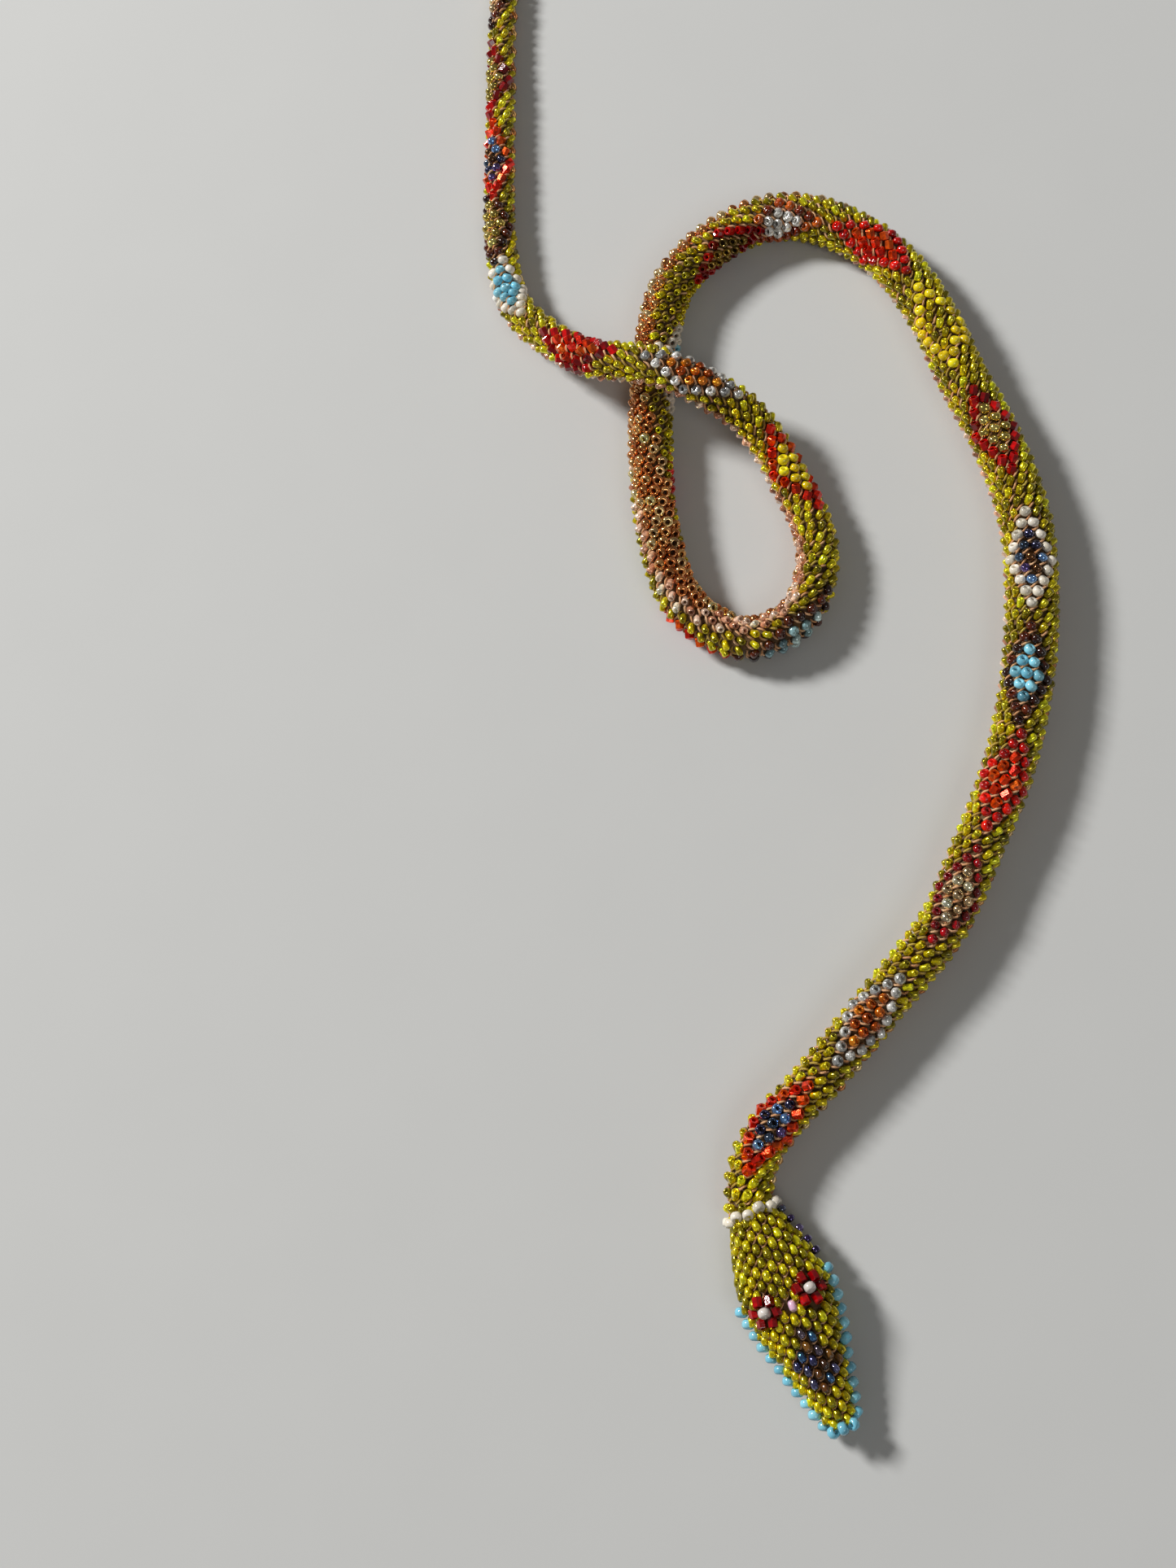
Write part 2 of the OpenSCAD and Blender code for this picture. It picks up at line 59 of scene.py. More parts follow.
# The rope's route on the table, from inside the head to the tail, with its lift at the crossing
ROUTE = np.array([
    (33.5, -89, 0), (29.5, -79, 0), (32, -68.5, 0), (43, -56.5, 0), (54, -44, 0),
    (65, -31, 0), (72.5, -16, 0), (78.5, -2, 0), (82.5, 13, 0), (84.5, 28, 0),
    (84.5, 45, 0), (80.5, 61.5, 0), (74.5, 76.5, 0), (69.5, 90.5, 0), (62, 103.5, 0),
    (51.5, 112.5, 0), (39.5, 116, 0), (27.5, 112, 0), (18, 102, 0), (14.5, 86, 0),
    (13.5, 68.5, 0), (14.5, 50.5, 0), (19.5, 34, 0), (31, 26, 0), (42, 30.5, 0),
    (45.5, 43.5, 0), (41, 57, 0.4), (34, 69.5, 4), (25, 75.5, 8.4), (15, 80, 10.8),
    (2, 84.5, 8), (-9, 94.5, 3), (-15.5, 104.5, 0), (-18, 117.5, 0), (-18.5, 131, 0),
    (-18.5, 150, 0), (-18.5, 170, 0), (-17.5, 190, 0), (-14, 209.5, 0), (-8, 228.5, 0),
    (2.5, 248, 0), (16, 265, 0), (31, 277, 0),
]) * MM
# From the route's own axes to the frame's
ROUTE_SHIFT = np.array([-33.72, -81.7, 0]) * MM
# The rope's thickness along the route
THICK_AT = [1, 9, 29, 42]
THICK = np.array([9.0, 10.6, 8.4, 4.8]) * MM
# Degrees by which the back is turned over along the route, as the photograph shows it
TWIST_AT = [14, 17.1, 19.5, 20.6, 21.9, 22.5, 23, 23.7, 25.3, 26.3, 28.3, 29, 30.2, 32,
            33.35, 34.4]
TWIST = [0, 76, 95, 172, 206, 236, 254, 268, 306, 335, 347, 358, 373, 372, 382, 404]
# Degrees from the back where the tan side turns to bronze, along the route
TAN_AT = [20.5, 22.5, 26]
TAN_TO = [125, 168, 155]
# Where along the route the bronze belly narrows from the loop's width to the tail's
BELLY_AT = [30, 34]
# How much the rope is flattened where it rests, and the route's last place
REST_FLAT = 0.5 * MM
END = 42

# How far the head has swollen towards its widest, at shares of its length
HEAD_AT = [0, 0.06, 0.16, 0.28, 0.4, 0.54, 0.69, 0.85, 0.94, 1]
HEAD_SWELL = [0, 0.1, 0.45, 0.78, 1, 0.88, 0.57, 0.22, 0.04, -0.12]

# Each finish of glass: low and high shade of its streaks, low and high roughness, relief, and
# what is the same all over. The streaks are partly the glass's own uneven tone and partly
# painted glints and glow of light through the glass
GLASSES = {
    "clear": ((0.55, 1.3), (0.04, 0.12), 0.35,
              {"IOR": 1.5, "Coat Weight": 0.6, "Coat Roughness": 0.02}),
    "opaque": ((0.95, 1.05), (0.10, 0.2), 0.15,
               {"IOR": 1.5, "Coat Weight": 0.5, "Coat Roughness": 0.04}),
    "metal": ((0.75, 1.15), (0.10, 0.22), 0.4,
              {"Metallic": 0.88, "Coat Weight": 0.4, "Coat Roughness": 0.03}),
    "iris": ((0.5, 1.5), (0.05, 0.14), 0.4,
             {"Metallic": 0.85, "Coat Weight": 0.8, "Coat Roughness": 0.03}),
    "pearl": ((0.96, 1.04), (0.12, 0.22), 0.15,
              {"IOR": 1.6, "Coat Weight": 0.8, "Coat Roughness": 0.06, "Sheen Weight": 0.2}),
    "lined": ((0.36, 1.5), (0.10, 0.24), 0.6,
              {"IOR": 1.5, "Metallic": 0.6, "Coat Weight": 0.5, "Coat Roughness": 0.03}),
    "crystal": ((0.35, 1.6), (0.03, 0.10), 1.0,
                {"IOR": 1.55, "Metallic": 0.3, "Coat Weight": 1.0, "Coat Roughness": 0.02}),
}
FINISHES = list(GLASSES)
# Scales of the noise that streaks the glass with uneven tone and painted glints, and roughens it,
# and the height of its relief
TONE_AND_GLINT_STREAKS, GRAIN, GRAIN_HEIGHT = 1300, 3100, 0.06 * MM
TUBE, ROUND, RICE, CUT = 0, 1, 2, 3

# Each kind of bead: finish, form, size beside its form's own, and its colours (sRGB)
KINDS = {
    "lime": ("lined", TUBE, 1.0,
             [(0.92, 0.82, 0.02), (0.98, 0.92, 0.10), (0.66, 0.60, 0.0), (0.80, 0.72, 0.0)]),
    "pink tan": ("crystal", TUBE, 1.04,
                 [(0.93, 0.70, 0.56), (0.76, 0.51, 0.38), (0.99, 0.84, 0.73)]),
    "bronze": ("metal", ROUND, 1.06, [(0.98, 0.72, 0.44), (0.84, 0.54, 0.30), (1.0, 0.83, 0.58)]),
    "gold": ("metal", ROUND, 1.04, [(0.92, 0.82, 0.46), (0.80, 0.70, 0.34)]),
    "pale gold": ("metal", ROUND, 1.0, [(1.0, 0.92, 0.76), (0.92, 0.78, 0.58)]),
    "dark gold": ("metal", ROUND, 1.0, [(0.50, 0.40, 0.16), (0.66, 0.54, 0.22)]),
    "orange red": ("lined", CUT, 1.0, [(1.0, 0.24, 0.01), (0.95, 0.14, 0.01), (1.0, 0.36, 0.03)]),
    "red": ("clear", ROUND, 0.96, [(0.92, 0.08, 0.01), (0.74, 0.03, 0.01)]),
    "crimson": ("clear", ROUND, 0.84, [(0.62, 0.01, 0.07), (0.48, 0.0, 0.05)]),
    "garnet": ("clear", CUT, 1.0, [(0.72, 0.01, 0.02), (0.50, 0.0, 0.02)]),
    "amber": ("lined", ROUND, 0.92, [(0.90, 0.45, 0.05), (0.74, 0.32, 0.02), (0.96, 0.55, 0.10)]),
    "crystal": ("crystal", ROUND, 1.0,
                [(0.82, 0.81, 0.78), (0.66, 0.66, 0.65), (0.92, 0.91, 0.88)]),
    "aqua": ("crystal", ROUND, 1.0, [(0.54, 0.68, 0.69), (0.42, 0.56, 0.59), (0.68, 0.78, 0.77)]),
    "brown": ("clear", ROUND, 0.98, [(0.17, 0.05, 0.01), (0.34, 0.12, 0.03)]),
    "rust": ("clear", ROUND, 0.98, [(0.62, 0.24, 0.04), (0.46, 0.14, 0.02), (0.74, 0.34, 0.08)]),
    "turquoise": ("opaque", ROUND, 1.05, [(0.54, 0.81, 0.88), (0.47, 0.76, 0.85)]),
    "yellow": ("opaque", ROUND, 1.02, [(0.93, 0.84, 0.10), (0.88, 0.76, 0.06)]),
    "white": ("opaque", ROUND, 1.08, [(0.92, 0.88, 0.84)]),
    "petal": ("clear", CUT, 0.98, [(0.68, 0.01, 0.03), (0.52, 0.0, 0.02)]),
    "purple": ("iris", ROUND, 0.78, [(0.50, 0.44, 0.64), (0.26, 0.20, 0.40), (0.40, 0.42, 0.52)]),
    "pink": ("pearl", RICE, 1.0, [(0.88, 0.70, 0.80)]),
    "pearl": ("pearl", ROUND, 1.02, [(0.93, 0.89, 0.82), (0.87, 0.83, 0.75)]),
    "iris": ("iris", ROUND, 0.94,
             [(0.24, 0.24, 0.38), (0.50, 0.68, 0.92), (0.42, 0.34, 0.58), (0.46, 0.28, 0.10),
              (0.28, 0.36, 0.46)]),
    "iris rice": ("iris", RICE, 0.98,
                  [(0.40, 0.40, 0.56), (0.30, 0.30, 0.48), (0.28, 0.48, 0.68),
                   (0.48, 0.42, 0.48)]),
    "brown rice": ("clear", RICE, 0.96,
                   [(0.34, 0.20, 0.07), (0.46, 0.30, 0.10), (0.24, 0.14, 0.08)]),
    "rice": ("lined", RICE, 1.02, [(0.90, 0.81, 0.02), (0.97, 0.90, 0.08), (0.66, 0.60, 0.0)]),
}

# How the thread shows beside each kind of bead, as a tint of its own colour: beside lime beads it
# is painted green, as light through the lime glass tints it, and beside bronze beads it is more
# orange
THREAD_TINT = {"lime": (0.66, 0.80, 0.20), "bronze": (0.94, 0.46, 0.20)}

# Lozenges of coloured beads on the back: place on the route, beads inside, beads round them
MOTIFS = [
    (2.22, "iris", "orange red"), (3.81, "amber", "crystal"), (5.34, "pale gold", "crimson"),
    (6.78, "orange red", "red"), (8.17, "turquoise", "brown"), (9.6, "iris", "pearl"),
    (11.18, "gold", "garnet"), (12.8, "lime", "yellow"), (14.29, "orange red", "red"),
    (15.9, "crystal", "rust"), (17.1, "dark gold", "garnet"), (19.0, "turquoise", "pearl"),
    (20.6, "orange red", "red"), (22.15, "red", "orange red"), (23.7, "aqua", "brown"),
    (26.28, "yellow", "orange red"), (28.26, "amber", "crystal"), (30.13, "orange red", "garnet"),
    (31.95, "turquoise", "pearl"), (33.35, "gold", "brown"), (34.36, "iris", "orange red"),
    (35.4, "gold", "garnet"), (36.5, "pale gold", "brown"), (37.4, "orange red", "red"),
    (38.5, "amber", "crystal"), (39.4, "turquoise", "brown"), (40.5, "orange red", "red"),
    (41.3, "yellow", "red"),
]

# Lengths of the rope taken as one piece each: name and route places; the body it rides on, or the
# two it lies between with the joint's place and the reach before and after it in mm; and the
# frame's nodes that it stands for
LENGTHS = [
    ("neck_front", 0.72, 2.0, ("head", "neck", 1, 6, 6), ["neck_beadwork", "neck_mark"]),
    ("neck_back", 2.0, 4.5, ("neck", "fore_1", 3, 12, 18), ["fore_1_beadwork", "fore_1_marks"]),
    ("fore_1_to_2", 4.5, 7.5, ("fore_1", "fore_2", 6, 18, 18),
     ["fore_2_beadwork", "fore_2_marks"]),
    ("fore_2_to_3", 7.5, 10.5, ("fore_2", "fore_3", 9, 18, 18),
     ["fore_3_beadwork", "fore_3_marks"]),
    ("fore_3_to_4", 10.5, 13.5, ("fore_3", "fore_4", 12, 18, 18),
     ["fore_4_beadwork", "fore_4_marks"]),
    ("fore_4_to_loop", 13.5, 17.0, ("fore_4", "loop", 15, 18, 18), ["loop_top_beadwork"]),
    ("loop_low", 17.0, 25.0, ("loop",), ["loop_left_beadwork", "loop_bottom_beadwork"]),
    ("loop_crossing", 25.0, 33.2, ("loop",), ["loop_right_beadwork", "loop_marks"]),
    ("loop_to_tail", 33.2, 35.0, ("loop", "tail_1", 34, 11, 16), ["crossing_beadwork"]),
    ("tail_1_to_2", 35.0, 37.0, ("tail_1", "tail_2", 36, 16, 16),
     ["tail_1_beadwork", "tail_1_marks"]),
    ("tail_2_to_3", 37.0, 39.0, ("tail_2", "tail_3", 38, 16, 16),
     ["tail_2_beadwork", "tail_2_marks"]),
    ("tail_3_to_4", 39.0, 41.0, ("tail_3", "tail_4", 40, 16, 16),
     ["tail_3_beadwork", "tail_3_marks"]),
    ("tail_end", 41.0, 42.2, ("tail_4",), ["tail_4_beadwork", "tail_4_marks"]),
]
ROPE_FROM = LENGTHS[0][1]

# How far a lozenge's outline and its inside reach from its middle, in half beads, and the share
# of that where no more beads than SLIM_ROUND go round the rope
OUTLINE_REACH, INSIDE_REACH, SLIM_ROUND, SLIM_SHARE = 5, 3, 5, 0.6
# Degrees round the rope that count as one row in the search for a lozenge's middle bead
DEGREES_A_ROW = 12
# The fewest beads that go round the rope, and how far past the route's end they are laid
FEWEST_ROUND, PAST_END = 4, 0.5 * MM
# How unevenly beads are made: their shade on the rope and on the head, and their size
ROPE_SHADES, HEAD_SHADES, UNEVEN_SIZE = 0.16, 0.1, 0.035
# Where the rope's beads shrink to their own size behind the collar, and how large they start
SHRINK_AT, SHRINK_TO = (1.2, 2.6), (1.14, 1.0)
# How deep a bead's middle lies under the rope's outside, as a share of a round bead
ROUND_DEPTH, SLIM_DEPTH = 0.47, 0.5
# How deep a loop of thread lies, likewise, and the share of the lime beads' loops that keep the
# thread's own colour
LOOP_DEPTH, BRONZE_LOOP_DEPTH, PLAIN_LOOPS = 0.62, 0.76, 0.3
# The thread core's wave, as a share of its radius, and its least radius
CORE_WAVE, CORE_SLIMMEST = 0.05, 0.6 * MM
# Neck cord: what it keeps from the joints before and behind it, and its depth in the rope
CORD_FROM, CORD_TO, CORD_DEPTH = 1.5 * MM, 6 * MM, 2.6 * MM
# Least heights of what lies on the table: a thread core, a loop's middle, and what a bead's
# middle keeps beyond half a round bead on the rope and on the head
CORE_LOW, LOOP_LOW, ROPE_BEAD_LOW, HEAD_BEAD_LOW = 0.5 * MM, 1.1 * MM, 0.22 * MM, 0.1 * MM

# The face, as x and y in mm on the head's top, and the eyes' petals
EYES = {"left": (16.9, 4.5), "right": (17.9, -4.4)}
BROW = (18.6, 0.6)
PETALS, PETAL_RING = 6, 2.1
# The lozenge on the nose: its middle, half its length and half its width, in mm
NOSE_MIDDLE, NOSE_HALF = (28.6, 0.5), (7.2, 4.4)
# Share of the nose's beads that are iris
IRIS_SHARE = 0.6
# Lip beads: side, first place along the head in mm, angle round it and seed
LIPS = [("left", 15.0, 0.12, 22), ("right", 16.2, math.pi - 0.12, 20)]
LIP_BEADS = 11
# The cheek's beads: their places along the head in mm, and their angle round it
CHEEK_X = [2.9, 5.0, 7.1, 9.3, 11.5]
CHEEK_ANGLE = 0.16
COLLAR_PEARLS = 13
# Plain beads stay this far from the face's. Near the seam, by the sine of their angle, they
# leave room for the lips from one place on, and for the cheek up to another
FACE_ROOM, LIP_ROOM_FROM, LIP_ROOM, CHEEK_ROOM_TO, CHEEK_ROOM = (
    1.0 * MM, 14.3 * MM, 0.16, 12.5 * MM, 0.2)
# How deep the head's plain beads, the nose's and the loops of thread are sunk
PLAIN_SUNK, NOSE_SUNK, HEAD_LOOP_SUNK = 0.7 * MM, 0.6 * MM, 1.1 * MM
# Where the head's first row of beads is, and how far before the tip its last row and the
# lips' last beads stop
FIRST_ROW, LAST_ROW_ROOM, LAST_LIP_ROOM = 1.6 * MM, 0.6 * MM, 1.2 * MM
# The angles from the top at which three lip beads go round the tip, and how far past it
TIP_ANGLES, PAST_TIP = (0.75, 0.0, -0.75), 0.2 * MM
# How unevenly the head's beads sit, and the size of the loops of thread between them
HEAD_WOBBLE, HEAD_LOOP_SIZE = 0.1, 0.85

# How far the floor lies below the frame's table, so that the flat of the rope stays clear
FLOOR_BELOW = 0.2 * MM
# Lamps: name, place, size and power; both look at the middle of the snake
LAMPS = [("key", (-1.5, 0.84, 1.3), 0.42, 53.0), ("fill", (0.9, -1.3, 1.7), 0.9, 7.0)]
LAMPS_LOOK_AT = (0.0, -0.02, 0.0)
# The camera's place and view, as the rows of its matrix
CAMERA = (
    (0.98226, 0.04972, 0.18081, 0.02843),
    (0.0, 0.96421, -0.26516, -0.17285),
    (-0.18752, 0.26045, 0.94709, 0.32557),
    (0, 0, 0, 1),
)
CAMERA_LENS = 41.10


def unit(vectors):
    """Vectors with a length of 1."""
    return vectors / np.linalg.norm(vectors, axis=-1, keepdims=True)


# ---------------------------------------------------------------- the rope's line
def curve_point(u):
    """Places on a smooth curve through the route's points, for an array of route places."""
    u = np.asarray(u, float)
    i = np.clip(np.floor(u).astype(int), 0, END - 1)
    t = (u - i)[:, None]
    a, b, c, d = (ROUTE[np.clip(i + k, 0, END)] for k in (-1, 0, 1, 2))
    return (
        b + (c - a) * t / 2
        + (2 * a - 5 * b + 4 * c - d) * t * t / 2
        + (3 * b - a - 3 * c + d) * t * t * t / 2
    )


class RopeLine:
    """The rope's centre line as a table by length, with its frame, radius and roll."""

    # Steps of the table for each route place
    steps_per_place = 200
    # A straight end past the route's last point, and how many route places it counts for
    end_run, end_places = 8 * MM, 0.4

    def __init__(self):
        u = np.linspace(0, END, END * self.steps_per_place + 1)
        p = curve_point(u) + ROUTE_SHIFT
        p[:, 2] = np.interp(u, THICK_AT, THICK) / 2 - REST_FLAT + np.maximum(0, p[:, 2])
        ahead = unit(np.gradient(p, axis=0))
        self.p = np.vstack([p, p[-1] + ahead[-1] * self.end_run])
        self.ahead = np.vstack([ahead, ahead[-1]])
        self.u = np.append(u, END + self.end_places)
        self.s = np.append(0, np.cumsum(np.linalg.norm(np.diff(self.p, axis=0), axis=1)))
        self.radius = np.interp(self.u, THICK_AT, THICK) / 2
        self.roll = np.interp(self.u, TWIST_AT, TWIST)

    def length_at(self, u):
        return float(np.interp(u, self.u, self.s))

    def at(self, s):
        """Centre, direction, side, top, radius and roll for an array of lengths."""
        p = np.stack([np.interp(s, self.s, self.p[:, k]) for k in range(3)], 1)
        d = unit(np.stack([np.interp(s, self.s, self.ahead[:, k]) for k in range(3)], 1))
        side = unit(np.cross([0.0, 0.0, 1.0], d))
        top = np.cross(d, side)
        return p, d, side, top, np.interp(s, self.s, self.radius), np.interp(s, self.s, self.roll)

    def spot(self, u):
        """Centre and direction at one route place."""
        p, d, *_ = self.at(np.array([self.length_at(u)]))
        return p[0], d[0]


ROPE = RopeLine()


def srgb(colour):
    """An sRGB colour as the linear one that a shader takes."""
    return tuple(c / 12.92 if c <= 0.04045 else ((c + 0.055) / 1.055) ** 2.4 for c in colour)


def euler_of(x, y, z):
    """XYZ Euler angles of frames whose axes are the rows of x, y and z."""
    return np.stack([
        np.arctan2(y[:, 2], z[:, 2]),
        np.arcsin(np.clip(-x[:, 2], -1, 1)),
        np.arctan2(x[:, 1], x[:, 0]),
    ], 1)


def frames_from(axis, near):
    """Frames whose Z is axis and whose X is as near as can be to near."""
    axis = unit(axis)
    x = unit(near - axis * np.sum(near * axis, 1)[:, None])
    return x, np.cross(axis, x), axis


def on_table(places, low):
    """Places, lifted to a least height."""
    places = places.copy()
    places[:, 2] = np.maximum(places[:, 2], low)
    return places


# ---------------------------------------------------------------- beads of the rope
def lay_rope_beads(sizes):
    """The spiral of beads: length along the rope, angle from the back, beads in a round."""
    s, turn = ROPE.length_at(ROPE_FROM), 0.0
    end = ROPE.length_at(END) + PAST_END
    rows = []
    while s < end:
        radius = float(np.interp(s, ROPE.s, ROPE.radius))
        round_long = 2 * math.pi * (radius - sizes.round_d / 2)
        count = max(FEWEST_ROUND, round(round_long / sizes.bead_step))
        rows.append((s, turn % 360, count))
        turn += 360 / (count + 0.5)
        s += sizes.row_pitch / (count + 0.5)
    return np.array(rows)


def kinds_of_rope_beads(rows, sizes):
    """Which kind each bead is: lime back, tan side and bronze belly, then the lozenges."""
    s, turn, count = rows.T
    kinds = np.full(len(rows), "lime", dtype=object)
    tan_to = np.interp(s, [ROPE.length_at(u) for u in TAN_AT], TAN_TO)
    kinds[(turn > sizes.tan_from) & (turn <= tan_to)] = "pink tan"
    belly_to = np.interp(s, [ROPE.length_at(u) for u in BELLY_AT],
                         [sizes.belly_to, sizes.tail_belly_to])
    kinds[(turn > tan_to) & (turn < belly_to)] = "bronze"
    signed = (turn + 180) % 360 - 180
    for u, inside, outline in MOTIFS:
        far = np.abs(s - ROPE.length_at(u)) / sizes.row_pitch + np.abs(signed) / DEGREES_A_ROW
        middle = int(np.argmin(far))
        half_step = 180 / (count[middle] + 0.5)
        q = ((turn - turn[middle] + 180) % 360 - 180) / half_step
        p = (s - s[middle]) / sizes.row_pitch - q / (2 * count[middle] + 1)
        away = np.abs(p) + np.abs(q)
        share = 1.0 if count[middle] > SLIM_ROUND else SLIM_SHARE
        kinds[away < OUTLINE_REACH * share] = outline
        kinds[away < INSIDE_REACH * share] = inside
    return kinds


def rope_points(rows):
    """Where the rope's middle is at each bead, the bead's directions, and the rope's radius."""
    s, turn, _ = rows.T
    p, ahead, side, top, radius, roll = ROPE.at(s)
    angle = np.radians(90 - roll - turn)[:, None]
    out = np.cos(angle) * side + np.sin(angle) * top
    around = np.sin(angle) * side - np.cos(angle) * top
    return p, ahead, out, around, radius


def point_cloud(name, places, turns, size, tint, finish=0, form=0):
    """A mesh of bare points that carries what the trees need; one number goes to all of them."""
    mesh = bpy.data.meshes.new(name)
    mesh.from_pydata([tuple(p) for p in places], [], [])
    many = len(places)
    for label, kind, values, key in (
        ("turn", "FLOAT_VECTOR", turns, "vector"),
        ("size", "FLOAT", np.full(many, size), "value"),
        ("tint", "FLOAT_COLOR", tint, "color"),
        ("finish", "INT", np.full(many, finish), "value"),
        ("form", "INT", np.full(many, form), "value"),
    ):
        data = mesh.attributes.new(label, kind, "POINT").data
        data.foreach_set(key, values.astype(np.int32 if kind == "INT" else np.float32).ravel())
    piece = bpy.data.objects.new(name, mesh)
    bpy.context.scene.collection.objects.link(piece)
    return piece


def dress_points(kinds, rng, shades):
    """Size, colour, finish and form of each bead from its kind, with a little variation."""
    size, tint, finish, form = [], [], [], []
    for kind in kinds:
        look, shape, scale, colours = KINDS[kind]
        base = srgb(colours[rng.integers(len(colours))])
        light = 1 + rng.normal(0, shades)
        tint.append([min(1.0, max(0.0, c * light)) for c in base] + [1.0])
        size.append(scale * (1 + rng.normal(0, UNEVEN_SIZE)))
        finish.append(FINISHES.index(look))
        form.append(shape)
    return np.array(size), np.array(tint), np.array(finish), np.array(form)


# ---------------------------------------------------------------- meshes
def mesh_object(name, verts, faces, smooth=True):
    """A linked object with faces that point outwards."""
    mesh = bpy.data.meshes.new(name)
    mesh.from_pydata([tuple(v) for v in verts], [], faces)
    mesh.validate()
    work = bmesh.new()
    work.from_mesh(mesh)
    bmesh.ops.recalc_face_normals(work, faces=work.faces)
    work.to_mesh(mesh)
    work.free()
    mesh.polygons.foreach_set("use_smooth", [smooth] * len(mesh.polygons))
    piece = bpy.data.objects.new(name, mesh)
    bpy.context.scene.collection.objects.link(piece)
    return piece


def lathed(name, outline, sides, smooth=True):
    """A ring-shaped mesh: outline is a closed row of (radius, height) points."""
    n = len(outline)
    verts = [
        (r * math.cos(2 * math.pi * k / sides), r * math.sin(2 * math.pi * k / sides), z)
        for k in range(sides) for r, z in outline
    ]
    faces = [
        (k * n + i, (k + 1) % sides * n + i, (k + 1) % sides * n + (i + 1) % n, k * n + (i + 1) % n)
        for k in range(sides) for i in range(n)
    ]
    return mesh_object(name, verts, faces, smooth)


def closed_tube(name, rings):
    """A tube through rings of points, closed at both ends."""
    n, last = len(rings[0]), (len(rings) - 1) * len(rings[0])
    faces = [
        (i * n + k, i * n + (k + 1) % n, (i + 1) * n + (k + 1) % n, (i + 1) * n + k)
        for i in range(len(rings) - 1) for k in range(n)
    ]
    faces += [tuple(range(n))[::-1], tuple(range(last, last + n))]
    return mesh_object(name, np.concatenate(rings), faces)


def circle(side, top, count):
    """Points of a circle with a radius of 1, from side towards top."""
    t = (2 * math.pi * np.arange(count) / count)[:, None]
    return np.cos(t) * side + np.sin(t) * top


def bead_shapes():
    """Beads of diameter 1 and length 1, with the hole along Z: round, slim tube and cut."""
    return (
        lathed("round_bead_shape", [
            (0.19, 0.26), (0.32, 0.48), (0.46, 0.30), (0.5, 0.0), (0.46, -0.30),
            (0.32, -0.48), (0.19, -0.26),
        ], 8),
        lathed("tube_bead_shape", [
            (0.22, 0.42), (0.36, 0.5), (0.5, 0.36), (0.5, -0.36), (0.36, -0.5), (0.22, -0.42),
        ], 7),
        lathed("cut_bead_shape", [
            (0.24, 0.46), (0.42, 0.5), (0.5, 0.42), (0.5, -0.42), (0.42, -0.5), (0.24, -0.46),
        ], 6, smooth=False),
    )


def stitch_shape(sizes):
    """One loop of thread, with X along the rope and Z out of it."""
    path = np.array([(-1.3, 0.5, -0.45), (-1.5, 0.1, 0.12), (-1.2, -0.35, 0.32),
                     (-0.75, -0.72, 0.12), (-0.35, -0.95, -0.4)]) * MM
    sides, never_ahead = 5, [0.3, 0.2, 1.0]
    rings = []
    for p, d in zip(path, unit(np.gradient(path, axis=0))):
        side = unit(np.cross(d, never_ahead))
        rings.append(p + sizes.thread_d / 2 * circle(side, np.cross(d, side), sides))
    return closed_tube("stitch_shape", rings)


def along_rope(name, low, high, radius_at, material, step, sides):
    """A closed round piece along the rope, between two lengths."""
    s = np.linspace(low, high, max(2, round((high - low) / step)) + 1)
    p, _, side, top, radius, _ = ROPE.at(s)
    rings = [
        on_table(p[i] + radius_at(s[i], radius[i]) * circle(side[i], top[i], sides), CORE_LOW)
        for i in range(len(s))
    ]
    piece = closed_tube(name, rings)
    piece.data.materials.append(material)
    return piece


def scrap(*things):
    """Removes source shapes."""
    for thing in things:
        mesh = thing.data
        bpy.data.objects.remove(thing)
        bpy.data.meshes.remove(mesh)


# ---------------------------------------------------------------- node trees
def feed(tree, node, inputs):
    """Gives each input of a node a value, or links it to another node's output."""
    for label, value in inputs.items():
        if isinstance(value, bpy.types.NodeSocket):
            tree.links.new(value, node.inputs[label])
        else:
            node.inputs[label].default_value = value
    return node


def add_node(tree, kind, inputs, **traits):
    """A new node with its traits set and its inputs fed."""
    node = tree.nodes.new(kind)
    for label, value in traits.items():
        setattr(node, label, value)
    return feed(tree, node, inputs)


def scaled(tree, vector, scale):
    """A vector or colour times a number."""
    return add_node(tree, "ShaderNodeVectorMath", {0: vector, "Scale": scale},
                    operation="SCALE").outputs["Vector"]


SOCKETS = {type(None): "NodeSocketObject", float: "NodeSocketFloat", int: "NodeSocketInt"}


def tree_with(name, inputs):
    """A tree that takes points and named inputs and gives a mesh, its start and its finish."""
    tree = bpy.data.node_groups.new(name, "GeometryNodeTree")
    tree.interface.new_socket("Points", in_out="INPUT", socket_type="NodeSocketGeometry")
    for label, value in inputs.items():
        kind = SOCKETS[type(value)]
        socket = tree.interface.new_socket(label, in_out="INPUT", socket_type=kind)
        if value is not None:
            socket.default_value = value
    tree.interface.new_socket("Mesh", in_out="OUTPUT", socket_type="NodeSocketGeometry")
    return tree, tree.nodes.new("NodeGroupInput").outputs, tree.nodes.new("NodeGroupOutput")


def named(tree, label, kind):
    """What an attribute of the points holds."""
    return add_node(tree, "GeometryNodeInputNamedAttribute", {"Name": label},
                    data_type=kind).outputs["Attribute"]


def equals(tree, value, number):
    """Whether a whole number is the given one."""
    node = add_node(tree, "FunctionNodeCompare", {}, data_type="INT", operation="EQUAL")
    left, right = (socket for socket in node.inputs if socket.type == "INT")
    tree.links.new(value, left)
    right.default_value = number
    return node.outputs["Result"]


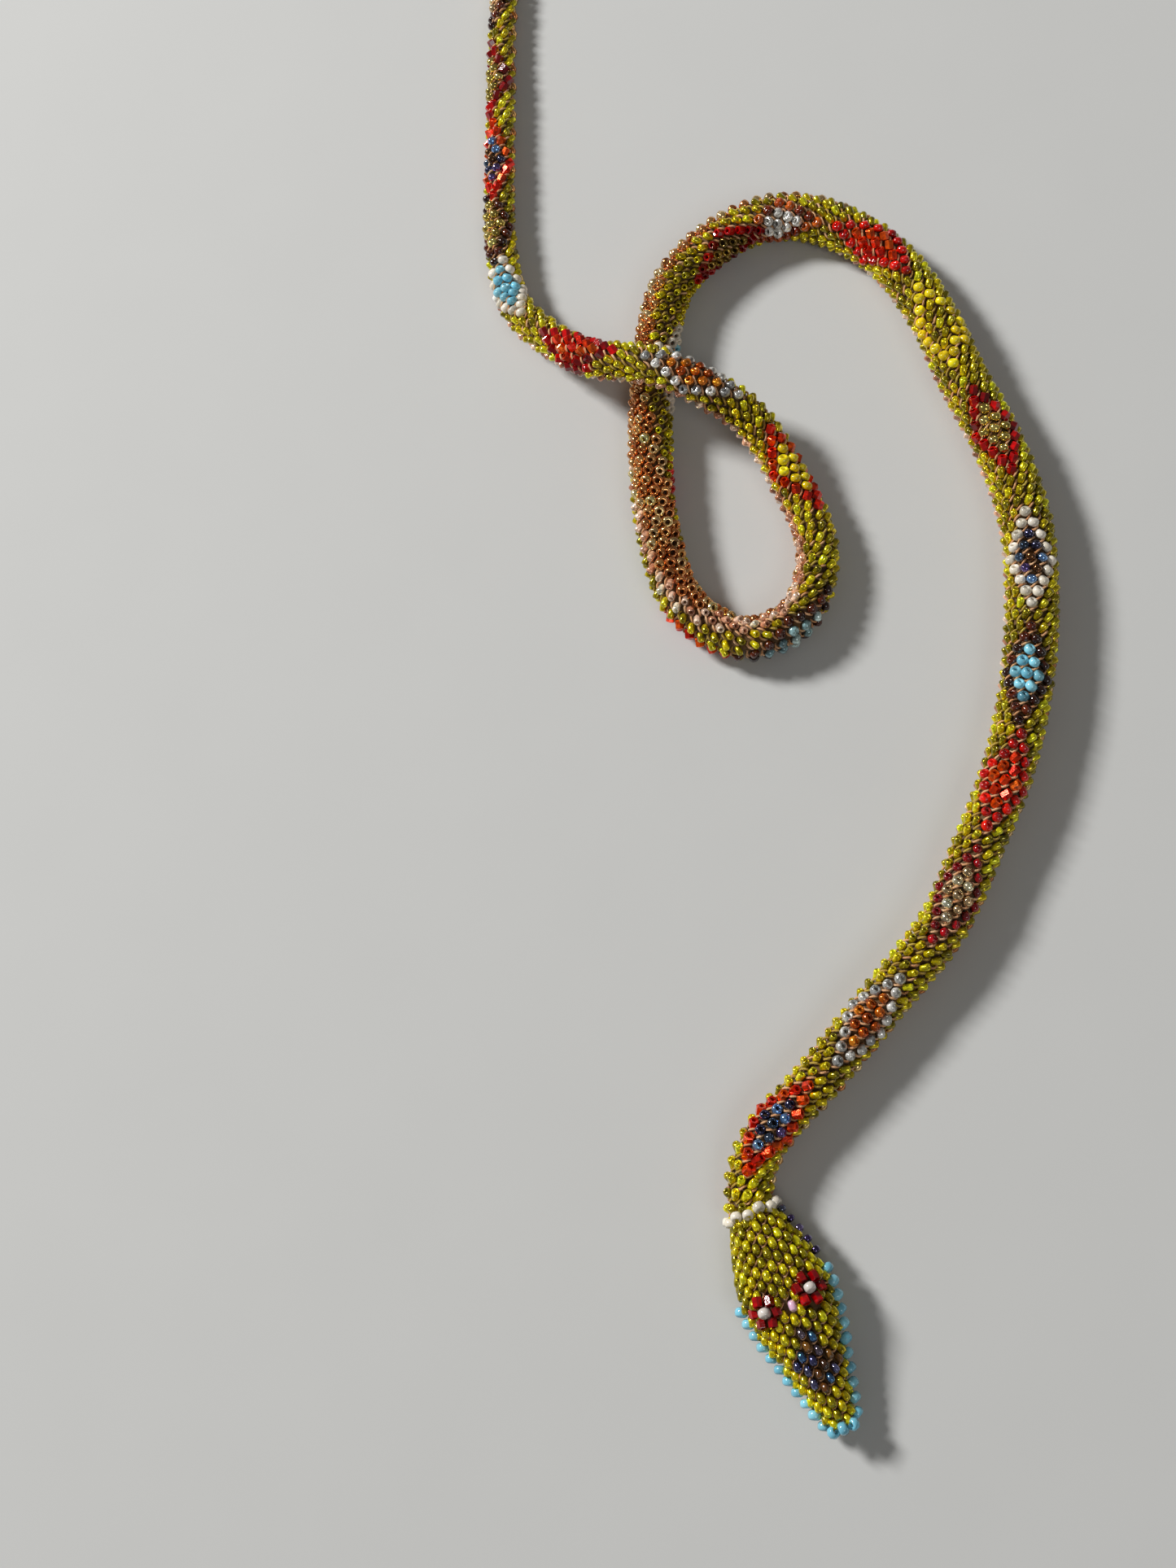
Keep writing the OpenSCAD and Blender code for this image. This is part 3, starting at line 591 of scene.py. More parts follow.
def turned(tree, start):
    """The rotation stored on each point, with a small random wobble."""
    low, high = (scaled(tree, (way, way, way), start["Wobble"]) for way in (-1, 1))
    wobble = add_node(tree, "FunctionNodeRandomValue", {0: low, 1: high, "Seed": start["Seed"]},
                      data_type="FLOAT_VECTOR")
    stored, small = (
        add_node(tree, "FunctionNodeEulerToRotation", {0: angles}).outputs[0]
        for angles in (named(tree, "turn", "FLOAT_VECTOR"), wobble.outputs[0])
    )
    return add_node(tree, "FunctionNodeRotateRotation", {0: stored, 1: small},
                    rotation_space="LOCAL").outputs[0]


def realized(tree, geometry):
    """Instances made real."""
    return add_node(tree, "GeometryNodeRealizeInstances", {0: geometry}).outputs[0]


def painted(tree, geometry, material, where=True):
    """A mesh with a material on it, all over or where asked."""
    return add_node(tree, "GeometryNodeSetMaterial", {
        "Geometry": geometry, "Selection": where, "Material": material,
    }).outputs[0]


def bead_tree():
    """Sets a bead of its own form on each point and gives it the glass that the point names."""
    tree, start, finish = tree_with("Set beads", {
        "Round bead": None, "Round diameter": 0.0021, "Round length": 0.0015,
        "Rice diameter": 0.0014, "Rice length": 0.0019,
        "Tube bead": None, "Tube diameter": 0.0013, "Tube length": 0.0019,
        "Cut bead": None, "Cut diameter": 0.0018, "Cut length": 0.0018,
        "Wobble": 0.1, "Seed": 7,
    })
    join = tree.nodes.new("GeometryNodeJoinGeometry")
    rotation = turned(tree, start)
    size = named(tree, "size", "FLOAT")
    form = named(tree, "form", "INT")
    for number, label, shape in ((TUBE, "Tube", "Tube"), (ROUND, "Round", "Round"),
                                 (RICE, "Rice", "Round"), (CUT, "Cut", "Cut")):
        info = add_node(tree, "GeometryNodeObjectInfo", {"Object": start[shape + " bead"]})
        across = start[label + " diameter"]
        scale = add_node(tree, "ShaderNodeCombineXYZ",
                         {"X": across, "Y": across, "Z": start[label + " length"]})
        put = add_node(tree, "GeometryNodeInstanceOnPoints", {
            "Points": start["Points"], "Selection": equals(tree, form, number),
            "Instance": info.outputs["Geometry"], "Rotation": rotation,
            "Scale": scaled(tree, scale.outputs[0], size),
        })
        tree.links.new(put.outputs["Instances"], join.inputs["Geometry"])
    mesh = realized(tree, join.outputs[0])
    look = named(tree, "finish", "INT")
    for number, label in enumerate(FINISHES):
        mesh = painted(tree, mesh, bead_glass(label), equals(tree, look, number))
    tree.links.new(mesh, finish.inputs["Mesh"])
    return tree


def bead_inputs(sizes, shapes, wobble, seed):
    """What the bead tree is given."""
    inputs = {"Wobble": wobble, "Seed": seed}
    for label, shape in zip(("Round", "Tube", "Cut"), shapes):
        inputs[label + " bead"] = shape
    for label in ("Round", "Rice", "Tube", "Cut"):
        inputs[label + " diameter"] = getattr(sizes, label.lower() + "_d")
        inputs[label + " length"] = getattr(sizes, label.lower() + "_l")
    return inputs


def stitch_tree(material):
    """Sets one loop of thread on each point."""
    tree, start, finish = tree_with("Set stitches", {
        "Stitch": None, "Stitch size": 1.0, "Wobble": 0.2, "Seed": 3,
    })
    info = add_node(tree, "GeometryNodeObjectInfo", {"Object": start["Stitch"]})
    times = add_node(tree, "ShaderNodeMath", {
        0: named(tree, "size", "FLOAT"), 1: start["Stitch size"],
    }, operation="MULTIPLY")
    put = add_node(tree, "GeometryNodeInstanceOnPoints", {
        "Points": start["Points"], "Instance": info.outputs["Geometry"],
        "Rotation": turned(tree, start), "Scale": times.outputs[0],
    })
    mesh = painted(tree, realized(tree, put.outputs[0]), material)
    tree.links.new(mesh, finish.inputs["Mesh"])
    return tree


def grow(piece, tree, values):
    """Runs a tree on a piece with named inputs and leaves the result as its plain mesh."""
    modifier = piece.modifiers.new("Growth", "NODES")
    modifier.node_group = tree
    for item in tree.interface.items_tree:
        if item.item_type == "SOCKET" and item.in_out == "INPUT" and item.name in values:
            modifier[item.identifier] = values[item.name]
    graph = bpy.context.evaluated_depsgraph_get()
    made = bpy.data.meshes.new_from_object(
        piece.evaluated_get(graph), preserve_all_data_layers=True, depsgraph=graph
    )
    if not made.polygons:
        raise RuntimeError(f"{piece.name} came out empty")
    piece.modifiers.clear()
    old, piece.data = piece.data, made
    bpy.data.meshes.remove(old)
    for label in ("turn", "size", "form", "finish"):
        if label in made.attributes:
            made.attributes.remove(made.attributes[label])


# ---------------------------------------------------------------- materials
def new_material(name):
    """A material, its tree and its shader."""
    material = bpy.data.materials.new(name)
    material.use_nodes = True
    return material, material.node_tree, material.node_tree.nodes["Principled BSDF"]


def object_place(tree):
    """The place on the piece, for a pattern that stays on it."""
    return tree.nodes.new("ShaderNodeTexCoord").outputs["Object"]


def own_tint(tree):
    """The tint that a bead or a loop carries."""
    return add_node(tree, "ShaderNodeAttribute", {}, attribute_name="tint").outputs["Color"]


def object_noise(tree, scale, detail=3.0):
    """Noise fixed to the piece."""
    return add_node(tree, "ShaderNodeTexNoise", {
        "Vector": object_place(tree), "Scale": scale, "Detail": detail,
    }).outputs["Fac"]


def spread(tree, value, low, high):
    """Noise drawn out to run from low to high."""
    return add_node(tree, "ShaderNodeMapRange", {
        "Value": value, "From Min": 0.3, "From Max": 0.7, "To Min": low, "To Max": high,
    }).outputs["Result"]


def bumped(tree, value, strength, distance):
    """Relief from a pattern."""
    return add_node(tree, "ShaderNodeBump", {
        "Height": value, "Strength": strength, "Distance": distance,
    }).outputs["Normal"]


def two_tone(tree, dark, light, scale, detail=3.0, ends=(0.0, 1.0)):
    """A colour that runs from dark to light by noise."""
    node = add_node(tree, "ShaderNodeValToRGB", {"Fac": object_noise(tree, scale, detail)})
    for element, colour, end in zip(node.color_ramp.elements, (dark, light), ends):
        element.position = end
        element.color = (*srgb(colour), 1)
    return node.outputs["Color"]


def bead_glass(label):
    """Bead glass: the bead's own tint, streaked with uneven tone and painted glints of light
    through the glass, with uneven polish.
    """
    name = label + "_bead_glass"
    if name in bpy.data.materials:
        return bpy.data.materials[name]
    streaks, polish, relief, fixed = GLASSES[label]
    material, tree, shader = new_material(name)
    # Streaks of uneven tone and of painted glints and glow of light through the glass
    shade = spread(tree, object_noise(tree, TONE_AND_GLINT_STREAKS), *streaks)
    fine = object_noise(tree, GRAIN)
    feed(tree, shader, {
        "Base Color": scaled(tree, own_tint(tree), shade),
        "Roughness": spread(tree, fine, *polish),
        "Normal": bumped(tree, fine, relief, GRAIN_HEIGHT),
        **fixed,
    })
    return material


def cotton(name, light, dark, tinted=False):
    """Cotton with the twist of its plies and a soft surface; a loop of thread has its own tint."""
    if name in bpy.data.materials:
        return bpy.data.materials[name]
    material, tree, shader = new_material(name)
    colour = two_tone(tree, dark, light, scale=420, detail=4, ends=(0.32, 0.68))
    if tinted:
        colour = add_node(tree, "ShaderNodeVectorMath", {0: colour, 1: own_tint(tree)},
                          operation="MULTIPLY").outputs["Vector"]
    ply = add_node(tree, "ShaderNodeTexWave",
                   {"Vector": object_place(tree), "Scale": 1500, "Distortion": 4})
    feed(tree, shader, {
        "Base Color": colour,
        "Roughness": spread(tree, object_noise(tree, scale=2600), low=0.7, high=0.9),
        "Normal": bumped(tree, ply.outputs["Fac"], strength=0.5, distance=0.1 * MM),
        "Sheen Weight": 0.25,
    })
    return material


def thread_cotton(colours):
    """Cotton of the crochet thread's loops."""
    return cotton("crochet_thread", colours.thread, colours.thread_dark, tinted=True)


def core_cotton_in_painted_shade(colours):
    """Cotton of the thread under the beads, darkened with painted shade for the shadow that falls
    between them.
    """
    return cotton("thread_core", colours.core, colours.core_dark)


def cord_cotton(colours):
    """Cotton of the cord inside the rope."""
    return cotton("cotton_cord", colours.cord, [c * 0.8 for c in colours.cord])


# ---------------------------------------------------------------- sizes and colours
def new_length(value, name, description, low=0.0):
    return bpy.props.FloatProperty(
        name=name, description=description, default=value, min=low, unit="LENGTH", precision=5
    )


def new_angle(radians, name, description):
    return bpy.props.FloatProperty(
        name=name, description=description, default=radians, subtype="ANGLE"
    )


def new_colour(value, name, description):
    return bpy.props.FloatVectorProperty(
        name=name, description=description, default=value, size=3, min=0, max=1,
        subtype="COLOR_GAMMA",
    )


class SnakeRopeSizes(bpy.types.PropertyGroup):
    """Sizes of the beads and of the thread between them"""

    round_d: new_length(0.00215, "Round bead", "Diameter of a round seed bead")
    round_l: new_length(0.00155, "Round bead length", "Length of a round seed bead")
    rice_d: new_length(0.00146, "Rice bead", "Diameter of a rice-shaped bead on the head")
    rice_l: new_length(0.00195, "Rice bead length", "Length of a rice-shaped bead on the head")
    cut_d: new_length(0.00185, "Cut bead", "Diameter of a six-sided cut bead")
    cut_l: new_length(0.00175, "Cut bead length", "Length of a six-sided cut bead")
    tube_d: new_length(0.00142, "Tube bead", "Diameter of a slim tube bead on the back")
    tube_l: new_length(0.00195, "Tube bead length", "Length of a slim tube bead on the back")
    row_pitch: new_length(0.00226, "Row pitch", "Distance along the rope from row to row", 0.001)
    bead_step: new_length(0.0022, "Bead step", "Distance round the rope from bead to bead", 0.001)
    tilt: new_angle(math.radians(46), "Tilt", "How far a bead's tail end stands out of the rope")
    slant: new_angle(math.radians(30), "Slant", "How far a bead leans round the rope")
    wobble: new_angle(0.13, "Wobble", "How unevenly the beads sit")
    seed: bpy.props.IntProperty(name="Seed", description="Seed of the uneven seating", default=11)
    tan_from: bpy.props.FloatProperty(
        name="Tan side from", description="Degrees from the back where the tan beads start",
        default=99)
    belly_to: bpy.props.FloatProperty(
        name="Belly to", description="Degrees from the back where the bronze beads end",
        default=259)
    tail_belly_to: bpy.props.FloatProperty(
        name="Tail belly to", description="The same on the tail, where fewer beads go round",
        default=212)
    thread_d: new_length(0.00044, "Thread", "Diameter of the crochet thread")
    core_gap: new_length(0.0017, "Core depth", "Depth of the thread core under the beads")


class SnakeHeadSizes(bpy.types.PropertyGroup):
    """Sizes of the head"""

    length: new_length(0.0395, "Length", "Length from the neck joint to the tip", 0.02)
    width: new_length(0.017, "Width", "Width at the widest place", 0.01)
    top: new_length(0.0066, "Top", "Height above the widest row", 0.003)
    under: new_length(0.0052, "Under", "Depth below the widest row", 0.003)
    tip_w: new_length(0.0064, "Tip width", "Width of the blunt tip")
    tip_h: new_length(0.003, "Tip height", "Height of the blunt tip")
    turn: new_angle(math.radians(18), "Turn", "Turn of the head to its left, off the neck's line")
    column: new_length(0.00165, "Column", "Distance between lengthwise columns of beads", 0.001)
    repeat: new_length(0.0024, "Repeat", "Distance between beads in one column", 0.001)
    skin: new_length(0.0013, "Bead depth", "Depth of the stuffed cushion under the beads")


class SnakeColours(bpy.types.PropertyGroup):
    """Colours that are not a bead's own"""

    thread: new_colour((0.93, 0.75, 0.56), "Thread", "Light colour of the crochet thread")
    thread_dark: new_colour((0.78, 0.52, 0.30), "Thread shade", "Dark colour of the thread")
    # The core's two colours are the thread's own darkened with painted shade, for the shadow
    # between the beads
    core: new_colour((0.46, 0.32, 0.14), "Core", "Light colour of the thread under the beads")
    core_dark: new_colour((0.26, 0.17, 0.06), "Core shade", "Dark colour under the beads")
    cord: new_colour((0.86, 0.80, 0.68), "Cord", "Colour of the cotton cord")
    floor: new_colour((0.80, 0.80, 0.79), "Floor", "Colour of the floor")


# ---------------------------------------------------------------- making the rope
def follow(piece, first, second=None, joint=0, before=0, after=0):
    """Rides on one body; a piece between two bodies is only baked where it lies and does not bend.
    """
    if second is None:
        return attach(piece, first)
    place, ahead = ROPE.spot(joint)
    flat = unit(np.array([ahead[0], ahead[1], 0]))
    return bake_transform(piece)


def grow_lengths(prefix, rows, tree, inputs, *columns):
    """Grows a piece on each length of the rope and yields it with the nodes it stands for."""
    for name, start, end, bend, nodes in LENGTHS:
        here = (rows[:, 0] >= ROPE.length_at(start)) & (rows[:, 0] < ROPE.length_at(end))
        piece = point_cloud(prefix + name, *(column[here] for column in columns))
        grow(piece, tree, inputs)
        follow(piece, *bend)
        yield piece, nodes


class SNAKE_OT_rope_beads(bpy.types.Operator):
    """Strings the spiral of beads along the rope, one piece for each length"""

    bl_idname = "snake.rope_beads"
    bl_label = "Rope beads"

    def execute(self, context):
        sizes = context.scene.snake_rope
        rows = lay_rope_beads(sizes)
        kinds = kinds_of_rope_beads(rows, sizes)
        p, ahead, out, around, radius = rope_points(rows)
        axis = ahead - math.tan(sizes.slant) * around + math.tan(sizes.tilt) * out
        turns = euler_of(*frames_from(axis, around))
        rng = np.random.default_rng(sizes.seed)
        size, tint, finish, form = dress_points(kinds, rng, ROPE_SHADES)
        size *= np.interp(rows[:, 0], [ROPE.length_at(u) for u in SHRINK_AT], SHRINK_TO)
        depth = sizes.round_d * np.where(form == ROUND, ROUND_DEPTH, SLIM_DEPTH)
        places = on_table(p + out * (radius - depth)[:, None], sizes.round_d / 2 + ROPE_BEAD_LOW)
        shapes = bead_shapes()
        inputs = bead_inputs(sizes, shapes, sizes.wobble, sizes.seed)
        for piece, nodes in grow_lengths("beads_", rows, bead_tree(), inputs,
                                         places, turns, size, tint, finish, form):
            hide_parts(*nodes)
        scrap(*shapes)
        return {"FINISHED"}


class SNAKE_OT_rope_thread(bpy.types.Operator):
    """Lays the loops of crochet thread between the beads"""

    bl_idname = "snake.rope_thread"
    bl_label = "Thread loops"

    def execute(self, context):
        sizes = context.scene.snake_rope
        rows = lay_rope_beads(sizes)
        kinds = kinds_of_rope_beads(rows, sizes)
        rng = np.random.default_rng(sizes.seed)
        # Loops beside lime beads take a painted green of light through the glass, and loops beside
        # bronze are more orange
        tint = np.array([THREAD_TINT.get(kind, (1, 1, 1)) + (1,) for kind in kinds], float)
        tint[(kinds == "lime") & (rng.random(len(kinds)) < PLAIN_LOOPS)] = 1
        sunk = sizes.round_d * np.where(kinds == "bronze", BRONZE_LOOP_DEPTH, LOOP_DEPTH)
        p, ahead, out, around, radius = rope_points(rows)
        places = on_table(p + out * (radius - sunk)[:, None], LOOP_LOW)
        loop = stitch_shape(sizes)
        tree = stitch_tree(thread_cotton(context.scene.snake_colours))
        inputs = {"Stitch": loop, "Stitch size": 1.0, "Wobble": 0.22, "Seed": sizes.seed}
        for piece, _ in grow_lengths("thread_", rows, tree, inputs, places,
                                     euler_of(ahead, around, out), np.ones(len(rows)), tint):
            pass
        scrap(loop)
        return {"FINISHED"}


class SNAKE_OT_thread_core(bpy.types.Operator):
    """Winds the thread core that shows between the beads, in cotton darkened with painted shade"""

    bl_idname = "snake.thread_core"
    bl_label = "Thread core"

    def execute(self, context):
        sizes = context.scene.snake_rope
        # The core's cotton is darkened with painted shade for the shadow between the beads
        material = core_cotton_in_painted_shade(context.scene.snake_colours)

        def waved(s, radius):
            """The core's radius, with a small wave in each row."""
            wave = 1 + CORE_WAVE * math.sin(2 * math.pi * s / sizes.row_pitch)
            return max(CORE_SLIMMEST, (radius - sizes.core_gap) * wave)

        for name, start, end, bend, _ in LENGTHS:
            piece = along_rope(
                "core_" + name, ROPE.length_at(start), ROPE.length_at(min(end, END)), waved,
                material, step=sizes.row_pitch / 2, sides=20)
            follow(piece, *bend)
        return {"FINISHED"}


class SNAKE_OT_neck_cord(bpy.types.Operator):
    """Lays the neck's cord, which stops at the joint so that the head can nod"""

    bl_idname = "snake.neck_cord"
    bl_label = "Neck cord"

    def execute(self, context):
        piece = along_rope(
            "cord_neck", ROPE.length_at(1) + CORD_FROM, ROPE.length_at(3) - CORD_TO,
            lambda s, radius: radius - CORD_DEPTH, cord_cotton(context.scene.snake_colours),
            step=1.5 * MM, sides=16)
        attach(piece, "neck")
        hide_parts("neck_cord")
        return {"FINISHED"}


# ---------------------------------------------------------------- the head
class HeadShape:
    """The head's outline, and the way from its own axes to the frame's."""

    # Where the head is widest, as a share of its length, and the seam's height at the tip
    widest_at, tip_seam = 0.4, 2.9 * MM
    # How much of the outline's slope the way out of the skin takes, the run over which the slope
    # is measured, and how near the seam a place on the top may be, as a share of half the width
    slope_share, slope_run, outermost = 0.8, 0.4 * MM, 0.98

    def __init__(self, head):
        self.head = head
        joint, ahead = ROPE.spot(1)
        angle = math.atan2(-ahead[1], -ahead[0]) + head.turn
        c, s = math.cos(angle), math.sin(angle)
        self.axes = np.array([(c, s, 0.0), (-s, c, 0.0), (0.0, 0.0, 1.0)])
        self.at_joint = np.array([joint[0], joint[1], 0.0])

    def share(self, x):
        return np.clip(np.asarray(x, float) / self.head.length, 0, 1)

    def swollen(self, x, neck, widest, tip):
        """A measure that runs evenly from neck to tip, and swells to its widest between."""
        share = self.share(x)
        unswollen = neck + (tip - neck) * self.widest_at
        swell = np.interp(share, HEAD_AT, HEAD_SWELL)
        return neck + (tip - neck) * share + (widest - unswollen) * swell

    def half_w(self, x):
        return self.swollen(x, THICK[0], self.head.width, self.head.tip_w) / 2

    def top(self, x):
        return self.swollen(x, THICK[0] / 2, self.head.top, self.head.tip_h)

    def seam(self, x):
        """Height of the widest row over the table."""
        heights = [THICK[0] / 2 - REST_FLAT, self.head.under - REST_FLAT, self.tip_seam]
        return np.interp(self.share(x), [0, self.widest_at, 1], heights)

    def on_skin(self, x, angle, rise=0.0):
        """Points of the head at x, at angles round it, and the directions out of it."""
        w, seam = self.half_w(x), self.seam(x)
        c, s = np.cos(angle), np.sin(angle)
        h = np.where(s >= 0, self.top(x), seam + REST_FLAT)
        out = unit(np.stack([np.zeros_like(c), c / w, s / h], -1))
        wider = self.half_w(x + self.slope_run) - self.half_w(x - self.slope_run)
        out[..., 0] = -wider / (2 * self.slope_run) * self.slope_share
        out = unit(out)
        local = np.stack([x * np.ones_like(c), w * c, seam + h * s], -1)
        return local + out * np.asarray(rise)[..., None], out

    def way(self, local):
        return local @ self.axes

    def to_frame(self, local):
        return self.at_joint + self.way(local)

    def angle_at(self, x, y):
        """The angle on the top half at which the skin stands at y."""
        side = np.clip(y / self.half_w(x), -self.outermost, self.outermost)
        return float(np.arccos(side))


def forward_of(out):
    """The direction along the head, for each direction out of it."""
    return np.tile([1.0, 0.0, 0.0], (len(out), 1))


def head_beads(name, shape, spots, slot, *nodes, tilt=0.4, seed=5, across=False):
    """Beads on the head, from spots of x, angle, rise and kind, threaded along or across it."""
    sizes = bpy.context.scene.snake_rope
    local, out = shape.on_skin(*np.array([spot[:3] for spot in spots]).T)
    forward = forward_of(out)
    sideways = np.cross(out, forward)
    hole, near = (sideways, forward) if across else (forward + tilt * out, sideways)
    turns = euler_of(*frames_from(shape.way(hole), shape.way(near)))
    places = on_table(shape.to_frame(local), sizes.round_d / 2 + HEAD_BEAD_LOW)
    dress = dress_points([spot[3] for spot in spots], np.random.default_rng(seed), HEAD_SHADES)
    piece = point_cloud(name, places, turns, *dress)
    shapes = bead_shapes()
    tree = bpy.data.node_groups.get("Set beads") or bead_tree()
    grow(piece, tree, bead_inputs(sizes, shapes, HEAD_WOBBLE, seed))
    scrap(*shapes)
    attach(piece, "head")
    if nodes:
        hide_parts(*nodes)


def face_marks():
    """The face's pieces: name, node, slot, kind, rise in mm and places in mm."""
    for hand, eye in EYES.items():
        yield "eye_centre_" + hand[0], "eye_centre_" + hand, "white_glass", "white", -0.1, [eye]
    angles = [2 * math.pi * (k + 0.25) / PETALS for k in range(PETALS)]
    for hand, (x, y) in EYES.items():
        petals = [(x + PETAL_RING * math.cos(t), y + PETAL_RING * math.sin(t)) for t in angles]
        yield "eye_petals_" + hand[0], "eye_petals_" + hand, "petal_glass", "petal", -0.35, petals
    yield "brow", "brow_beads", "pink_glass", "pink", -0.5, [BROW]


def column_angles(shape, x, row, column):
    """Angles round the head at x where a staggered row has its beads."""
    every_half_degree = 2 * 360 + 1
    fine = np.linspace(-math.pi / 2, 1.5 * math.pi, every_half_degree)
    ring, _ = shape.on_skin(x, fine)
    arc = np.append(0, np.cumsum(np.linalg.norm(np.diff(ring, axis=0), axis=1)))
    whole, edge = arc[-1], 0.3 * column
    reach = int(whole / 2 / column)
    places = [whole / 2 + k * column for k in range(-reach, reach + 1) if (k + row) % 2 == 0]
    return [float(np.interp(s, arc, fine)) for s in places if edge <= s <= whole - edge]


def plain_bead_fits(angle, x, y, face):
    """Whether a plain bead is clear of the face, the lips and the cheek."""
    level = abs(math.sin(angle))
    in_face = math.sin(angle) > 0 and np.min(np.hypot(*(face - (x, y)).T)) < FACE_ROOM
    on_lip = level < LIP_ROOM and x > LIP_ROOM_FROM
    on_cheek = level < CHEEK_ROOM and y > 0 and x < CHEEK_ROOM_TO
    return not (in_face or on_lip or on_cheek)


def on_nose(angle, x, y):
    """Whether a bead is in the nose's lozenge."""
    away = (abs(x / MM - NOSE_MIDDLE[0]) / NOSE_HALF[0]
            + abs(y / MM - NOSE_MIDDLE[1]) / NOSE_HALF[1])
    return away < 1 and math.sin(angle) > 0


class SNAKE_OT_head_cushion(bpy.types.Operator):
    """Stuffs the head: a full, closed cushion of crochet under the beads"""

    bl_idname = "snake.head_cushion"
    bl_label = "Stuffed head"

    def execute(self, context):
        head = context.scene.snake_head
        shape = HeadShape(head)
        # The first and the last ring are drawn in, so that the ends are rounded
        sides, rings_between, end_share, low = 40, 46, 0.72, 0.4 * MM
        angles = 2 * math.pi * np.arange(sides) / sides
        between = np.linspace(0.9 * MM, head.length - 1.2 * MM, rings_between)
        xs = [0.2 * MM, *between, head.length - 0.7 * MM]
        rings = [shape.to_frame(shape.on_skin(x, angles, -head.skin)[0]) for x in xs]
        for end in (0, -1):
            middle = rings[end].mean(0)
            rings[end] = middle + (rings[end] - middle) * end_share
        piece = closed_tube("head_cushion", [on_table(ring, low) for ring in rings])
        # The cushion's cotton is darkened with painted shade, for the shadow between the beads
        piece.data.materials.append(core_cotton_in_painted_shade(context.scene.snake_colours))
        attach(piece, "head")
        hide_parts("head_stuffing", "head_under_beadwork")
        return {"FINISHED"}


class SNAKE_OT_head_skin_beads(bpy.types.Operator):
    """Covers the head with rice-shaped beads in staggered lengthwise columns"""

    bl_idname = "snake.head_skin_beads"
    bl_label = "Head beads"

    def execute(self, context):
        sizes, head = context.scene.snake_rope, context.scene.snake_head
        shape = HeadShape(head)
        face = np.array([place for *_, places in face_marks() for place in places]) * MM
        rng = np.random.default_rng(sizes.seed)
        spots, nose = [], []
        rows = np.arange(FIRST_ROW, head.length - LAST_ROW_ROOM, head.repeat / 2)
        for row, x in enumerate(rows):
            for angle in column_angles(shape, x, row, head.column):
                y = float(shape.half_w(x)) * math.cos(angle)
                if not plain_bead_fits(angle, x, y, face):
                    continue
                if on_nose(angle, x, y):
                    kind = "iris rice" if rng.random() < IRIS_SHARE else "brown rice"
                    nose.append((x, angle, -NOSE_SUNK, kind))
                else:
                    spots.append((x, angle, -PLAIN_SUNK, "rice"))
        head_beads("head_rice_beads", shape, spots, "back_glass", "head_top_beadwork")
        head_beads("nose_mark", shape, nose, "iris_glass", "nose_mark_beads", seed=45)
        self.lay_thread(context, shape, np.array([spot[:2] for spot in spots + nose]))
        return {"FINISHED"}

    def lay_thread(self, context, shape, every):
        """Lays a loop of thread under each bead."""
        local, out = shape.on_skin(*every.T, -HEAD_LOOP_SUNK)
        out, forward = shape.way(out), shape.way(forward_of(out))
        side, ahead, up = frames_from(out, np.cross(out, forward))
        piece = point_cloud("head_thread", on_table(shape.to_frame(local), LOOP_LOW),
                            euler_of(ahead, -side, up), HEAD_LOOP_SIZE,
                            np.ones((len(every), 4)))
        loop = stitch_shape(context.scene.snake_rope)
        tree = (bpy.data.node_groups.get("Set stitches")
                or stitch_tree(thread_cotton(context.scene.snake_colours)))
        grow(piece, tree, {"Stitch": loop, "Stitch size": 1.0, "Wobble": 0.2, "Seed": 9})
        scrap(loop)
        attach(piece, "head")


class SNAKE_OT_head_edge_beads(bpy.types.Operator):
    """Edges the lips with turquoise and the left cheek with purple beads"""

    bl_idname = "snake.head_edge_beads"
    bl_label = "Lips and cheek"

    def execute(self, context):
        head = context.scene.snake_head
        shape = HeadShape(head)
        for hand, start, angle, seed in LIPS:
            spots = [(x, angle, 0.0, "turquoise")
                     for x in np.linspace(start * MM, head.length - LAST_LIP_ROOM, LIP_BEADS)]
            head_beads("lip_" + hand, shape, spots, "turquoise_glass", "lip_beads_" + hand,
                       tilt=0.5, seed=seed)
        tip = [(head.length + PAST_TIP, math.pi / 2 + t, 0.0, "turquoise") for t in TIP_ANGLES]
        head_beads("lip_tip", shape, tip, "turquoise_glass", seed=31, across=True)
        cheek = [(x * MM, CHEEK_ANGLE, 0.0, "purple") for x in CHEEK_X]
        head_beads("cheek", shape, cheek, "purple_glass", "cheek_beads", seed=33)
        return {"FINISHED"}


class SNAKE_OT_head_face(bpy.types.Operator):
    """Sets the eyes with their petals, and the brow bead"""

    bl_idname = "snake.head_face"
    bl_label = "Eyes and brow"

    def execute(self, context):
        shape = HeadShape(context.scene.snake_head)
        for seed, (name, node, slot, kind, rise, places) in enumerate(face_marks(), 40):
            spots = [(x * MM, shape.angle_at(x * MM, y * MM), rise * MM, kind)
                     for x, y in places]
            head_beads(name, shape, spots, slot, node, tilt=0.3, seed=seed)
        return {"FINISHED"}


class SNAKE_OT_collar(bpy.types.Operator):
    """Strings the collar of pearls round the neck"""

    bl_idname = "snake.collar"
    bl_label = "Pearl collar"

    def execute(self, context):
        # The pearls go zigzag round the neck, and those below it are sunk deeper
        spots = [((1.4 + 0.5 * (k % 2)) * MM, 2 * math.pi * (k + 0.5) / COLLAR_PEARLS,
                  (-0.25 if 6 < k < 12 else -0.1) * MM, "pearl") for k in range(COLLAR_PEARLS)]
        head_beads("collar", HeadShape(context.scene.snake_head), spots, "pearl_glass",
                   "collar_pearls", tilt=0.6, seed=51)
        return {"FINISHED"}


